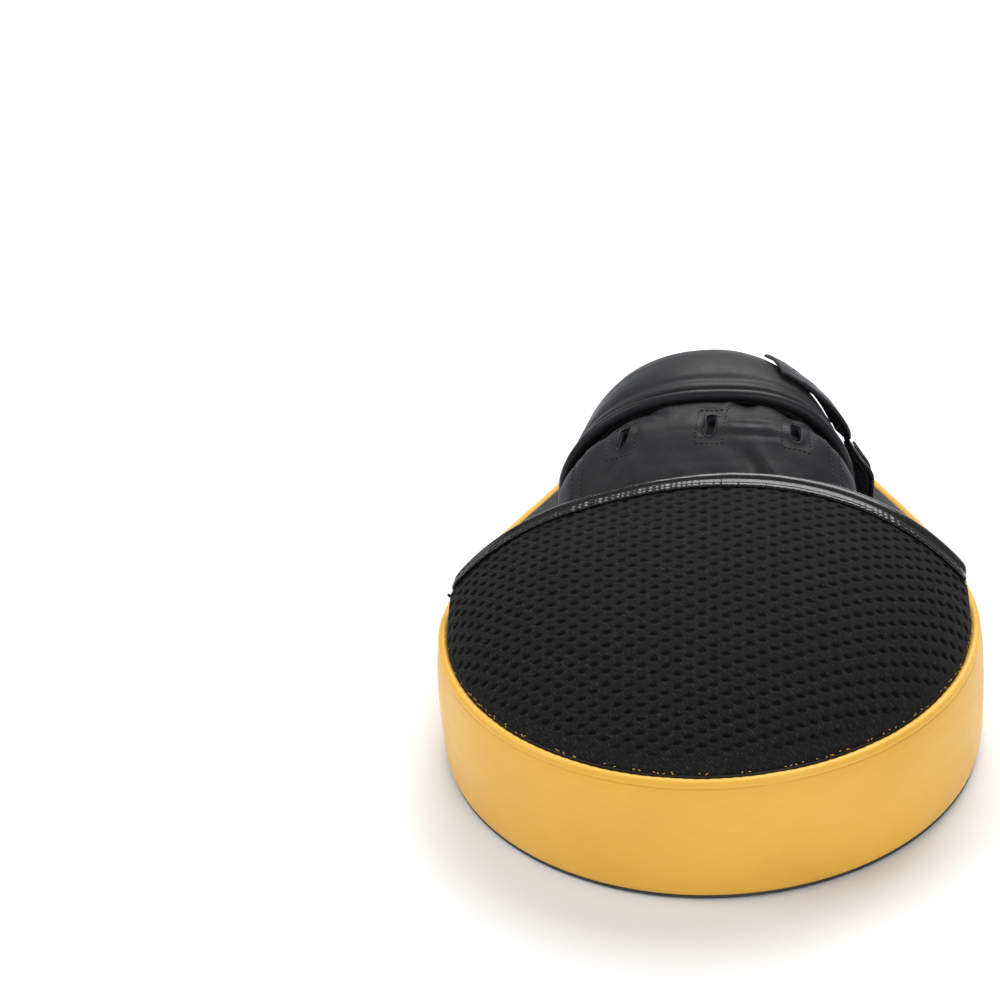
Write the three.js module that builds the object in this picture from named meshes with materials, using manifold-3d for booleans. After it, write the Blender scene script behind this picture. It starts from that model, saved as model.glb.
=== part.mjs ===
// Focus mitt for boxing and martial arts, lying strike face down.
// Millimetres, +Z up. The origin is at the middle of the footprint, on the plane of the strike face.
// +Y runs from the fingers to the wrist, +X is the thumb side of a right hand's mitt.
import * as THREE from 'three';
import { mergeVertices } from 'three/addons/utils/BufferGeometryUtils.js';
import Module from 'manifold-3d';

const wasm = await Module();
wasm.setup();

// ---------------------------------------------------------------- driving dimensions
const FACE_LENGTH = 290;
const FACE_WIDTH = 188;
const WIDE_END_RADIUS = FACE_WIDTH / 2;
const NARROW_END_RADIUS = 64;
const SIDE_RADIUS = 602;
const GAP = 0.3; // clearance between pieces that touch

const LEATHER = 1.5;
const FACE_TOP = 1.6; // inner side of the strike face leather
const PATCH_RADIUS = 30.5;
const PATCH_Y = -12.4;
const FACE_BINDING_RADIUS = 1.9;
const BACK_PIPING_RADIUS = 1.9;
const BACK_PIPING_Z = 44.4;
const PAD_TOP = 46.8; // outer side of the back cover

const TAPER_START = -60; // from the fingers on, the pad thins towards the wrist
const TAPER_END = 125;
const TAPER_DROP = 31;
const FOOT_CLEARANCE = 0.7; // kept under the feet of an arch where the back slopes
const FOOT_REACH = 0.2; // how much of an arch's height its feet are stretched over to meet the taper

const HOOD_THICKNESS = 2.4;
const HOOD_LINING = 0.9;
const HOOD_BASE_RADIUS = 89.2;
const HOOD_MOUTH_Y = -18; // middle of the mouth, at the top of the arch
const HOOD_MOUTH_SWEEP = 22; // how far the mouth's two ends lie ahead of its middle
const HOOD_MOUTH_HALF = 88.5;
const HOOD_TOP = 83;
const MOUTH_SIDE_RISE = 3; // how far the mouth's two ends stand above the pad
const MOUTH_SQUARENESS = 2.6; // powers that shape the mouth's arch
const MOUTH_SHOULDER = 0.75;
const HOOD_BILLOW = 2.2; // power that makes the hood rise steeply from its seam
const HOOD_PIPING_RADIUS = 3.1;

const GLOVE_SQUARENESS = 3.4; // power of the glove's superellipse section
const GLOVE_WALL = 2.2;
const LINING_CLEARANCE = 0.6;
const PANEL_LIFT = 0.8;
const PANEL_WALL = 1.2;
const PANEL_STRAP_SIDE = 1 / 7; // where the panel starts and ends along the glove
const PANEL_HOOD_SIDE = 3.7 / 7;
const PANEL_MARGIN = 38; // degrees left free on each side of the panel at the strap
const PANEL_SPREAD = 14; // how many degrees less are left free at the hood
const SLOT_X = [-29, 2, 32];
const SLOT_Y = 7;
const SLOT_LENGTH = 10;
const SLOT_WIDTH = 3.8;

const THUMB_LIFT = 0.04; // how much taller the hand side is towards the thumb
const THUMB_X = 64;
const THUMB_HALF = 9.4;
const THUMB_HEIGHT = 14;
const THUMB_MOUTH = -36;
const THUMB_LENGTH = 58;

const STRAP_FRONT = 24;
const STRAP_BACK = 62;
const STRAP_HALF = 55; // from the middle to the strap's sewn foot, at its front edge
const STRAP_FREE_HALF = 53; // from the middle to the strap's free end
const STRAP_TAPER = 10; // how much narrower the arch is at its back edge, on each side
const STRAP_SQUARENESS = 2.25; // power of the arch on the sewn side
const STRAP_FREE_SQUARENESS = 2.6; // power of the arch on the free side, at the front edge
const STRAP_FREE_SLOPE = 0.75; // how much less that power is at the back edge
const STRAP_CROWN = 2.4; // how far the padding swells the arch's middle
const STRAP_DROOP = 5; // how far the arch's back edge drops
const STRAP_FOOT = 50.4;
const STRAP_TOP = 95.8;
const STRAP_PIPING_RADIUS = 2.1;
const TAB_FRONT = 35;
const TAB_BACK = 60;
const TAB_THICKNESS = 2.2;
const TAB_ROUND_START = 0.62; // where the tab's rounded tip begins along its length
const TAB_SPRING = 3.4; // how far the free tip stands off the strap

// ---------------------------------------------------------------- materials
const leatherBlack = { color: 0x2b2d2f, roughness: 0.55, metalness: 0 };
const leatherYellow = { color: 0xf0b440, roughness: 0.5, metalness: 0 };
const patentBlack = { color: 0x101112, roughness: 0.12, metalness: 0 };
const meshBlack = { color: 0x17181a, roughness: 0.9, metalness: 0 };
const textileBlack = { color: 0x1c1d20, roughness: 0.95, metalness: 0 };
const foamGrey = { color: 0x8d8f92, roughness: 0.95, metalness: 0 };
const boardBrown = { color: 0x6a5a48, roughness: 0.8, metalness: 0 };

const mitt = new THREE.Group();

function addPiece(name, geometry, finish) {
  const mesh = new THREE.Mesh(geometry, new THREE.MeshStandardMaterial(finish));
  mesh.name = name;
  mitt.add(mesh);
}

// ---------------------------------------------------------------- closed bodies from points
// Builds a geometry from points and triangles and turns it inside out if its volume is negative.
function closedBody(points, triangles) {
  let volume = 0;
  for (const [a, b, c] of triangles) {
    volume += points[a].dot(points[b].clone().cross(points[c]));
  }
  const outward = volume < 0 ? triangles.map(([a, b, c]) => [a, c, b]) : triangles;
  const geometry = new THREE.BufferGeometry();
  geometry.setAttribute('position', new THREE.Float32BufferAttribute(points.flatMap((p) => p.toArray()), 3));
  geometry.setIndex(outward.flat());
  geometry.computeVertexNormals();
  return geometry;
}

function quad(list, a, b, c, d) {
  list.push([a, b, c], [a, c, d]);
}

// A sheet of cloth or foam between two surfaces, each a function of (u, v) from 0 to 1.
function sheetBody(outer, inner, acrossSteps, alongSteps) {
  const points = [];
  const triangles = [];
  const columns = alongSteps + 1;
  const perSide = (acrossSteps + 1) * columns;
  for (const surface of [outer, inner]) {
    for (let i = 0; i <= acrossSteps; i += 1) {
      for (let j = 0; j <= alongSteps; j += 1) {
        points.push(surface(i / acrossSteps, j / alongSteps));
      }
    }
  }
  const at = (side, i, j) => side * perSide + i * columns + j;
  for (let i = 0; i < acrossSteps; i += 1) {
    for (let j = 0; j < alongSteps; j += 1) {
      quad(triangles, at(0, i, j), at(0, i + 1, j), at(0, i + 1, j + 1), at(0, i, j + 1));
      quad(triangles, at(1, i, j), at(1, i, j + 1), at(1, i + 1, j + 1), at(1, i + 1, j));
    }
  }
  for (let i = 0; i < acrossSteps; i += 1) {
    quad(triangles, at(0, i, 0), at(1, i, 0), at(1, i + 1, 0), at(0, i + 1, 0));
    const last = alongSteps;
    quad(triangles, at(0, i, last), at(0, i + 1, last), at(1, i + 1, last), at(1, i, last));
  }
  for (let j = 0; j < alongSteps; j += 1) {
    quad(triangles, at(0, 0, j), at(0, 0, j + 1), at(1, 0, j + 1), at(1, 0, j));
    const last = acrossSteps;
    quad(triangles, at(0, last, j), at(1, last, j), at(1, last, j + 1), at(0, last, j + 1));
  }
  return closedBody(points, triangles);
}

// ---------------------------------------------------------------- the pad's taper
// How much lower the pad's back is at y than it is over the fingers.
function backDrop(y) {
  return TAPER_DROP * THREE.MathUtils.smoothstep(y, TAPER_START, TAPER_END);
}

// How far a point of an arch that stands on the back is lowered; rise is 0 at its feet, 1 at its crown.
function footDrop(y, rise) {
  const drop = Math.max(0, backDrop(y) - FOOT_CLEARANCE);
  return drop * (1 - THREE.MathUtils.smoothstep(rise, 0, FOOT_REACH));
}

function followBack(geometry) {
  const { position } = geometry.attributes;
  for (let i = 0; i < position.count; i += 1) {
    position.setZ(i, position.getZ(i) - backDrop(position.getY(i)));
  }
  geometry.computeVertexNormals();
  return geometry;
}

// ---------------------------------------------------------------- the pad's outline
// Four arcs that meet without a corner: wide end, two long sides, narrow end.
const WIDE_Y = -FACE_LENGTH / 2 + WIDE_END_RADIUS;
const NARROW_Y = FACE_LENGTH / 2 - NARROW_END_RADIUS;
const centreGap = NARROW_Y - WIDE_Y;
const wideReach = SIDE_RADIUS - WIDE_END_RADIUS;
const narrowReach = SIDE_RADIUS - NARROW_END_RADIUS;
const sideRise = (wideReach ** 2 - narrowReach ** 2 + centreGap ** 2) / (2 * centreGap);
const sideX = Math.sqrt(wideReach ** 2 - sideRise ** 2);
const sideY = WIDE_Y + sideRise;
const wideTangent = Math.atan2(WIDE_Y - sideY, sideX);
const narrowTangent = Math.atan2(NARROW_Y - sideY, sideX);

function arcPoints(x, y, radius, from, to, steps) {
  const points = [];
  for (let i = 0; i < steps; i += 1) {
    const angle = from + ((to - from) * i) / steps;
    points.push(new THREE.Vector2(x + radius * Math.cos(angle), y + radius * Math.sin(angle)));
  }
  return points;
}

const WIDE_STEPS = 26; // even, as are the narrow ones, so that the halves of the outline mirror each other
const SIDE_STEPS = 12;
const NARROW_STEPS = 14;
const OUTLINE_STEPS = WIDE_STEPS + 2 * SIDE_STEPS + NARROW_STEPS;

function padOutline(inset) {
  const side = SIDE_RADIUS - inset;
  const wide = WIDE_END_RADIUS - inset;
  const narrow = NARROW_END_RADIUS - inset;
  return [
    ...arcPoints(0, WIDE_Y, wide, Math.PI - wideTangent, 2 * Math.PI + wideTangent, WIDE_STEPS),
    ...arcPoints(-sideX, sideY, side, wideTangent, narrowTangent, SIDE_STEPS),
    ...arcPoints(0, NARROW_Y, narrow, narrowTangent, Math.PI - narrowTangent, NARROW_STEPS),
    ...arcPoints(sideX, sideY, side, Math.PI - narrowTangent, Math.PI - wideTangent, SIDE_STEPS),
  ];
}

// The outline at one level: share says how much of the taper that level follows.
function outlineLoop([inset, z, share = 0]) {
  return padOutline(inset).map((p) => new THREE.Vector3(p.x, p.y, z - share * backDrop(p.y)));
}

// A closed section of [inset, z, share] rows carried round the outline, as a band or a bead.
function ringBody(section) {
  const loops = section.map(outlineLoop);
  const points = loops.flat();
  const around = loops[0].length;
  const triangles = [];
  for (let k = 0; k < section.length; k += 1) {
    const next = (k + 1) % section.length;
    for (let i = 0; i < around; i += 1) {
      const j = (i + 1) % around;
      quad(triangles, k * around + i, k * around + j, next * around + j, next * around + i);
    }
  }
  return closedBody(points, triangles);
}

// A layer that fills the outline, from the first [inset, z, share] row at the bottom to the last at the top.
// Its two faces are strips straight across, each from one side of the outline to the other.
function layerBody(edge) {
  const points = edge.map(outlineLoop).flat();
  const around = OUTLINE_STEPS;
  const triangles = [];
  for (let k = 0; k < edge.length - 1; k += 1) {
    for (let i = 0; i < around; i += 1) {
      const j = (i + 1) % around;
      quad(triangles, k * around + i, k * around + j, (k + 1) * around + j, (k + 1) * around + i);
    }
  }
  const upper = (edge.length - 1) * around;
  const first = WIDE_STEPS / 2; // the middle of the wide end
  for (let step = 0; step < around / 2; step += 1) {
    const left = (first - step + around) % around;
    const leftNext = (left - 1 + around) % around;
    const right = first + step;
    const rightNext = right + 1;
    if (step > 0) triangles.push([left, leftNext, right], [upper + left, upper + right, upper + leftNext]);
    if (leftNext !== rightNext % around) {
      triangles.push([right, leftNext, rightNext], [upper + right, upper + rightNext, upper + leftNext]);
    }
  }
  return closedBody(points, triangles);
}

function roundSection(inset, z, radius, sides, share) {
  return Array.from({ length: sides }, (_, k) => {
    const angle = (2 * Math.PI * k) / sides;
    return [inset + radius * Math.cos(angle), z + radius * Math.sin(angle), share];
  });
}

// ---------------------------------------------------------------- booleans and tubes
function solidOf(geometry) {
  const bare = geometry.clone();
  bare.deleteAttribute('normal');
  bare.deleteAttribute('uv');
  const merged = mergeVertices(bare, 1e-4);
  const mesh = new wasm.Mesh({
    numProp: 3,
    vertProperties: new Float32Array(merged.attributes.position.array),
    triVerts: new Uint32Array(merged.index.array),
  });
  return new wasm.Manifold(mesh);
}

function cutAway(geometry, cutters) {
  let solid = solidOf(geometry);
  for (const cutter of cutters) {
    solid = solid.subtract(solidOf(cutter));
  }
  const { vertProperties, triVerts } = solid.getMesh();
  const result = new THREE.BufferGeometry();
  result.setAttribute('position', new THREE.Float32BufferAttribute(vertProperties, 3));
  result.setIndex(Array.from(triVerts));
  result.computeVertexNormals();
  return result;
}

function tubeAlong(points, radius, sides, steps) {
  const section = new THREE.Shape();
  for (let k = 0; k < sides; k += 1) {
    const angle = (2 * Math.PI * k) / sides;
    const x = radius * Math.cos(angle);
    const y = radius * Math.sin(angle);
    if (k === 0) section.moveTo(x, y);
    else section.lineTo(x, y);
  }
  section.closePath();
  const path = new THREE.CatmullRomCurve3(points);
  return new THREE.ExtrudeGeometry(section, { steps, extrudePath: path, bevelEnabled: false });
}

// ---------------------------------------------------------------- the striking pad
function buildPad() {
  const patchRecess = new THREE.CylinderGeometry(PATCH_RADIUS + GAP, PATCH_RADIUS + GAP, 2, 40);
  patchRecess.rotateX(Math.PI / 2).translate(0, PATCH_Y, -0.05);
  const face = layerBody([[5, 0], [3.8, 0.3], [3, 1], [3.2, FACE_TOP]]);
  addPiece('strike_face_cover', cutAway(face, [patchRecess]), leatherBlack);
  const patch = new THREE.CylinderGeometry(PATCH_RADIUS, PATCH_RADIUS, 0.65, 40);
  patch.rotateX(Math.PI / 2).translate(0, PATCH_Y, 0.325);
  addPiece('target_patch', patch, leatherBlack);

  const bindingZ = FACE_TOP + GAP + FACE_BINDING_RADIUS + 0.1;
  const binding = roundSection(FACE_BINDING_RADIUS + 0.1, bindingZ, FACE_BINDING_RADIUS, 6, 0);
  addPiece('face_binding', ringBody(binding), leatherYellow);

  const wallBottom = bindingZ + FACE_BINDING_RADIUS + GAP;
  const wallTop = BACK_PIPING_Z - BACK_PIPING_RADIUS - GAP;
  const wallRows = [[0.5, wallBottom], [0, 16], [0, 26], [0.8, 36], [1.9, wallTop]];
  const outside = wallRows.map(([inset, z]) => [inset, z, (z - wallBottom) / (wallTop - wallBottom)]);
  const inside = outside.map(([inset, z, share]) => [inset + LEATHER, z, share]).reverse();
  addPiece('gusset_band', ringBody([...outside, ...inside]), leatherYellow);
  const piping = roundSection(3.1, BACK_PIPING_Z, BACK_PIPING_RADIUS, 6, 1);
  addPiece('back_piping', ringBody(piping), leatherYellow);

  // inset, bottom, top, and how much of the taper each side follows, so that the layers thin out together
  const layers = [
    ['strike_foam', 4.6, FACE_TOP + GAP, 14, 0, 0.294, foamGrey],
    ['core_foam', 4.6, 14 + GAP, 33.7, 0.294, 0.828, foamGrey],
    ['backing_board', 4.2, 34, 36.6, 0.828, 0.828, boardBrown],
    ['comfort_foam', 5.5, 37, PAD_TOP - LEATHER - GAP, 0.831, 1, foamGrey],
    ['back_cover', 5.4, PAD_TOP - LEATHER, PAD_TOP, 1, 1, leatherBlack],
  ];
  for (const [name, inset, bottom, top, bottomShare, topShare, finish] of layers) {
    addPiece(name, layerBody([[inset, bottom, bottomShare], [inset, top, topShare]]), finish);
  }
}

// ---------------------------------------------------------------- the finger hood
// The hood springs from an arc round the wide end and rises to an arched mouth. across runs from one end
// of the mouth to the other, along runs from the seam to the mouth, and sink is a depth below the outside.
function mouthPoint(across, sink) {
  const x = -(HOOD_MOUTH_HALF - sink) * Math.cos(Math.PI * across);
  const y = HOOD_MOUTH_Y - HOOD_MOUTH_SWEEP * (x / HOOD_MOUTH_HALF) ** 2;
  const foot = PAD_TOP + GAP + MOUTH_SIDE_RISE;
  const reach = Math.abs(x / (HOOD_MOUTH_HALF + 2 - sink));
  const curve = Math.max(0, 1 - reach ** MOUTH_SQUARENESS) ** MOUTH_SHOULDER;
  const lean = 1 + (THUMB_LIFT * x) / HOOD_MOUTH_HALF;
  return new THREE.Vector3(x, y, foot + (HOOD_TOP - foot - sink) * curve * lean);
}

function hoodSurface(sink, mouthBack) {
  const endY = HOOD_MOUTH_Y - HOOD_MOUTH_SWEEP - mouthBack;
  const endAngle = Math.asin((endY - WIDE_Y) / HOOD_BASE_RADIUS);
  return (across, along) => {
    const angle = Math.PI - endAngle + across * (Math.PI + 2 * endAngle);
    const radius = HOOD_BASE_RADIUS - sink;
    const mouth = mouthPoint(across, sink);
    const baseX = radius * Math.cos(angle);
    const baseY = WIDE_Y + radius * Math.sin(angle);
    const climb = 1 - (1 - along) ** HOOD_BILLOW;
    return new THREE.Vector3(
      baseX + (mouth.x - baseX) * along,
      baseY + (mouth.y - mouthBack - baseY) * along,
      PAD_TOP + GAP + (mouth.z - PAD_TOP - GAP) * climb,
    );
  };
}

function buildHood() {
  const mouthBack = HOOD_PIPING_RADIUS + GAP;
  const liningSink = HOOD_THICKNESS + GAP;
  const outside = hoodSurface(0, mouthBack);
  const inside = hoodSurface(HOOD_THICKNESS, mouthBack);
  addPiece('finger_hood', sheetBody(outside, inside, 28, 8), meshBlack);
  const liningOutside = hoodSurface(liningSink, mouthBack);
  const liningInside = hoodSurface(liningSink + HOOD_LINING, mouthBack);
  addPiece('hood_lining', sheetBody(liningOutside, liningInside, 20, 5), textileBlack);

  const edge = [];
  for (let i = 0; i <= 20; i += 1) {
    const point = mouthPoint(i / 20, HOOD_THICKNESS / 2);
    const tuck = i === 0 || i === 20 ? -1.6 : 0;
    edge.push(point.add(new THREE.Vector3(0, 0, tuck)));
  }
  addPiece('hood_piping', tubeAlong(edge, HOOD_PIPING_RADIUS, 8, 32), patentBlack);
}

// ---------------------------------------------------------------- the glove
// Stations along the hand: [y, half width, height above the pad], from wrist to fingertips.
const GLOVE_STATIONS = [
  [30, 38, 33], [22, 41, 36.5], [14, 51, 41], [5, 57, 43],
  [-20, 54, 28.5], [-60, 50, 25.5], [-95, 44, 17], [-112, 36, 5],
];
function gloveCurve(column) {
  const points = GLOVE_STATIONS.map((station) => new THREE.Vector2(station[0], station[column]));
  return new THREE.SplineCurve(points);
}
const gloveWidth = gloveCurve(1);
const gloveHeight = gloveCurve(2);

// A point on the glove at an angle round the hand (0 at the thumb side, half a turn at the other).
function glovePoint(angle, along, lift) {
  const half = gloveWidth.getPoint(along);
  const height = gloveHeight.getPoint(along);
  const side = Math.cos(angle);
  return new THREE.Vector3(
    (half.y + lift) * Math.sign(side) * Math.abs(side) ** (2 / GLOVE_SQUARENESS),
    half.x,
    PAD_TOP + GAP + Math.max(0.6, height.y + lift) * Math.sin(angle) * (1 + THUMB_LIFT * side)
      - footDrop(half.x, Math.sin(angle)),
  );
}

function gloveSurface(lift, wristEnd, tipEnd) {
  return (across, along) => glovePoint(Math.PI * across, wristEnd + (tipEnd - wristEnd) * along, lift);
}

function ventCutters() {
  const outline = new THREE.Shape();
  const half = SLOT_WIDTH / 2;
  const straight = (SLOT_LENGTH - SLOT_WIDTH) / 2;
  outline.absarc(0, straight, half, 0, Math.PI, false);
  outline.absarc(0, -straight, half, Math.PI, 2 * Math.PI, false);
  return SLOT_X.map((x) => {
    const cutter = new THREE.ExtrudeGeometry(outline, { depth: 50, bevelEnabled: false, curveSegments: 6 });
    return cutter.translate(x, SLOT_Y, 62);
  });
}

// The stitched-on panel over the knuckles, narrower at the strap than at the hood.
function panelSurface(lift) {
  return (across, along) => {
    const margin = THREE.MathUtils.degToRad(PANEL_MARGIN - PANEL_SPREAD * along);
    const angle = Math.PI - margin - across * (Math.PI - 2 * margin);
    return glovePoint(angle, PANEL_STRAP_SIDE + (PANEL_HOOD_SIDE - PANEL_STRAP_SIDE) * along, lift);
  };
}

function buildGlove() {
  const shell = sheetBody(gloveSurface(0, 0, 1), gloveSurface(-GLOVE_WALL, 0, 1), 24, 14);
  addPiece('glove_shell', cutAway(shell, ventCutters()), leatherBlack);
  const panel = sheetBody(panelSurface(PANEL_LIFT + PANEL_WALL), panelSurface(PANEL_LIFT), 18, 8);
  addPiece('vent_panel', cutAway(panel, ventCutters()), leatherBlack);
  const lining = -GLOVE_WALL - LINING_CLEARANCE;
  const tip = 6 / 7;
  const liningBody = sheetBody(gloveSurface(lining, 0, tip), gloveSurface(lining - 1, 0, tip), 24, 12);
  addPiece('glove_lining', liningBody, textileBlack);
}

// ---------------------------------------------------------------- thumb, palm and wrist cushions
function buildThumb() {
  const stall = (wall) => (across, along) => {
    const angle = Math.PI * across;
    const taper = Math.sqrt(Math.max(0.02, 1 - along ** 3));
    const x = THUMB_X - 2 * along + (THUMB_HALF - wall) * taper * Math.cos(angle);
    const z = PAD_TOP + GAP + (THUMB_HEIGHT - wall) * taper * Math.sin(angle);
    return new THREE.Vector3(x, THUMB_MOUTH - THUMB_LENGTH * along, z);
  };
  addPiece('thumb_stall', sheetBody(stall(0), stall(1.8), 12, 7), leatherBlack);
  const rim = [];
  for (let i = 0; i <= 10; i += 1) {
    const angle = (Math.PI * i) / 10;
    const x = THUMB_X + (THUMB_HALF - 0.9) * Math.cos(angle);
    const z = PAD_TOP + GAP + (THUMB_HEIGHT - 0.9) * Math.sin(angle);
    rim.push(new THREE.Vector3(x, THUMB_MOUTH + 1.4 + GAP, z));
  }
  addPiece('thumb_binding', tubeAlong(rim, 1.4, 6, 14), leatherBlack);
}

// A low dome that stands on the back cover: solid, or hollow from below where it has a wall.
function domeBody(x, y, halfX, halfY, base, height, wall) {
  const around = 28;
  const rings = 6;
  const points = [];
  const triangles = [];
  const insides = wall ? [0, wall] : [0];
  for (const inside of insides) {
    const start = points.length;
    for (let r = 0; r < rings; r += 1) {
      const lift = (Math.PI / 2) * (r / rings);
      for (let i = 0; i < around; i += 1) {
        const angle = (2 * Math.PI * i) / around;
        points.push(new THREE.Vector3(
          x + (halfX - inside) * Math.cos(angle) * Math.cos(lift),
          y + (halfY - inside) * Math.sin(angle) * Math.cos(lift),
          base + (height - inside) * Math.sin(lift),
        ));
      }
    }
    const tip = points.length;
    points.push(new THREE.Vector3(x, y, base + height - inside));
    const top = tip - around;
    for (let i = 0; i < around; i += 1) {
      const j = (i + 1) % around;
      for (let a = start; a < top; a += around) {
        if (inside) quad(triangles, a + i, a + around + i, a + around + j, a + j);
        else quad(triangles, a + i, a + j, a + around + j, a + around + i);
      }
      triangles.push(inside ? [top + i, tip, top + j] : [top + i, top + j, tip]);
    }
  }
  const innerRim = rings * around + 1;
  const centre = points.length;
  if (!wall) points.push(new THREE.Vector3(x, y, base));
  for (let i = 0; i < around; i += 1) {
    const j = (i + 1) % around;
    if (wall) quad(triangles, i, innerRim + i, innerRim + j, j);
    else triangles.push([centre, j, i]);
  }
  return closedBody(points, triangles);
}

// All the room below the lying pads, up to a gap above the pad's back.
function belowBack() {
  return layerBody([[-5, -5, 1], [-5, PAD_TOP + GAP, 1]]);
}

function buildPalm() {
  const base = PAD_TOP + GAP;
  const mound = followBack(domeBody(0, -12, 38, 30, base, 9.2, 0));
  addPiece('palm_mound', cutAway(mound, [belowBack()]), foamGrey);
  const cover = 1.1;
  const reach = GAP + cover;
  const skin = followBack(domeBody(0, -12, 38 + reach, 30 + reach, base, 9.2 + reach, cover));
  addPiece('palm_cover', cutAway(skin, [belowBack()]), leatherBlack);
  const reachX = 30;
  const radius = 8;
  const pad = new THREE.Shape();
  pad.moveTo(-reachX, -radius).lineTo(reachX, -radius);
  pad.absarc(reachX, 0, radius, -Math.PI / 2, Math.PI / 2, false);
  pad.lineTo(-reachX, radius);
  pad.absarc(-reachX, 0, radius, Math.PI / 2, 1.5 * Math.PI, false);
  const roll = new THREE.ExtrudeGeometry(pad, {
    depth: 5, bevelEnabled: true, bevelThickness: 1.5, bevelSize: 1.5, bevelSegments: 2, curveSegments: 6,
  });
  const wrist = followBack(roll.translate(0, 46, base + 1.5));
  addPiece('wrist_pad', cutAway(wrist, [belowBack()]), leatherBlack);
}

// ---------------------------------------------------------------- the wrist strap
// The strap is a padded arch over the wrist, a little lower and narrower at its back edge.
// angle is 0 at the thumb side's foot and half a turn at the other; lift is a height above the leather.
function strapPoint(angle, y, lift) {
  const back = (y - STRAP_FRONT) / (STRAP_BACK - STRAP_FRONT);
  const crown = STRAP_CROWN * Math.sin(Math.PI * back) - STRAP_DROOP * back ** 4;
  const side = Math.cos(angle);
  const free = THREE.MathUtils.smoothstep(side, -0.15, 0.35);
  const freePower = STRAP_FREE_SQUARENESS - STRAP_FREE_SLOPE * back;
  const squareness = THREE.MathUtils.lerp(STRAP_SQUARENESS, freePower, free);
  const half = (side > 0 ? STRAP_FREE_HALF : STRAP_HALF) - STRAP_TAPER * back + lift;
  const height = STRAP_TOP - STRAP_FOOT + crown + lift;
  return new THREE.Vector3(
    half * Math.sign(side) * Math.abs(side) ** (2 / squareness),
    y,
    STRAP_FOOT + height * Math.sin(angle) * (1 + THUMB_LIFT * side) - footDrop(y, Math.sin(angle)),
  );
}

function strapSurface(lift, front, back) {
  return (across, along) => strapPoint(Math.PI * across, front + (back - front) * along, lift);
}

function strapEdge(y, lift) {
  return Array.from({ length: 25 }, (_, i) => strapPoint((Math.PI * i) / 24, y, lift));
}

function buildStrap() {
  const padding = 3.8;
  const layers = [
    ['strap_band', 0, LEATHER, 0, leatherBlack],
    ['strap_padding', LEATHER + GAP, padding, 1, foamGrey],
    ['strap_lining', LEATHER + padding + 2 * GAP, 1, 0, textileBlack],
  ];
  for (const [name, depth, thickness, margin, finish] of layers) {
    const outside = strapSurface(-depth, STRAP_FRONT + margin, STRAP_BACK - margin);
    const inside = strapSurface(-depth - thickness, STRAP_FRONT + margin, STRAP_BACK - margin);
    addPiece(name, sheetBody(outside, inside, 22, 4), finish);
  }
  const beadOff = STRAP_PIPING_RADIUS + GAP;
  const beadLift = -LEATHER;
  const front = strapEdge(STRAP_FRONT - beadOff, beadLift);
  const back = strapEdge(STRAP_BACK + beadOff, beadLift);
  addPiece('strap_front_piping', tubeAlong(front, STRAP_PIPING_RADIUS, 6, 26), leatherBlack);
  addPiece('strap_rear_piping', tubeAlong(back, STRAP_PIPING_RADIUS, 6, 26), leatherBlack);
}

// ---------------------------------------------------------------- the closure tab
const TAB_ROOT_ANGLE = THREE.MathUtils.degToRad(54);
const TAB_TIP_ANGLE = THREE.MathUtils.degToRad(12);

// reach is 0 at the sewn root and 1 at the rounded tip, side is -1 at the front edge and 1 at the back.
function tabPoint(reach, side, lift) {
  const angle = TAB_ROOT_ANGLE + (TAB_TIP_ANGLE - TAB_ROOT_ANGLE) * reach;
  const intoTip = Math.max(0, (reach - TAB_ROUND_START) / (1 - TAB_ROUND_START));
  const round = Math.sqrt(Math.max(0.03, 1 - intoTip ** 2));
  const middle = (TAB_FRONT + TAB_BACK) / 2;
  const y = middle + side * ((TAB_BACK - TAB_FRONT) / 2) * round;
  const spread = 0.6 + TAB_SPRING * THREE.MathUtils.smoothstep(reach, 0.1, 0.9);
  return strapPoint(angle, y, spread + lift);
}

function tabSurface(lift, from, to, narrow) {
  return (across, along) => tabPoint(from + (to - from) * along, (2 * across - 1) * narrow, lift);
}

function buildTab() {
  const top = tabSurface(TAB_THICKNESS, 0, 0.97, 0.9);
  const under = tabSurface(0, 0, 0.97, 0.9);
  addPiece('strap_tab', sheetBody(top, under, 8, 12), leatherBlack);
  const hook = sheetBody(tabSurface(-GAP, 0.42, 0.9, 0.74), tabSurface(-GAP - 1.1, 0.42, 0.9, 0.74), 6, 7);
  addPiece('hook_patch', hook, textileBlack);
}

// ---------------------------------------------------------------- the closure flap and strap anchor
const FLAP_PROFILE = [[57.2, 0], [59.6, 4.5], [60.2, 8.5], [59.6, 11.8], [57.8, 14.5]];
const FLAP_TAPER = 0.3; // how far the flap leans in for each millimetre towards the wrist
const flapCurve = new THREE.SplineCurve(FLAP_PROFILE.map(([x, rise]) => new THREE.Vector2(x, rise)));
const FLAP_FRONT = 24;
const FLAP_BACK = 51;
const FLAP_ROUND_START = 0.6; // where the flap's top corners begin to round off
const FLAP_ROUNDING = 6;
const FLAP_FOOT_SCALE = 0.4; // the flap's foot is stretched over its lower half

function flapSurface(depth, from, to, front, back) {
  return (across, along) => {
    const at = from + (to - from) * along;
    const point = flapCurve.getPoint(at);
    const tangent = flapCurve.getTangent(at);
    const y = front + (back - front) * across;
    const intoTop = Math.max(0, (at - FLAP_ROUND_START) / (1 - FLAP_ROUND_START));
    const shrink = FLAP_ROUNDING * intoTop ** 2;
    const half = (back - front) / 2;
    const middle = (front + back) / 2;
    const pulled = middle + (y - middle) * ((half - shrink) / half);
    return new THREE.Vector3(
      point.x - depth * tangent.y - FLAP_TAPER * (pulled - FLAP_FRONT),
      pulled,
      PAD_TOP + GAP + Math.max(0, point.y + depth * tangent.x) - footDrop(pulled, at * FLAP_FOOT_SCALE),
    );
  };
}

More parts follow.
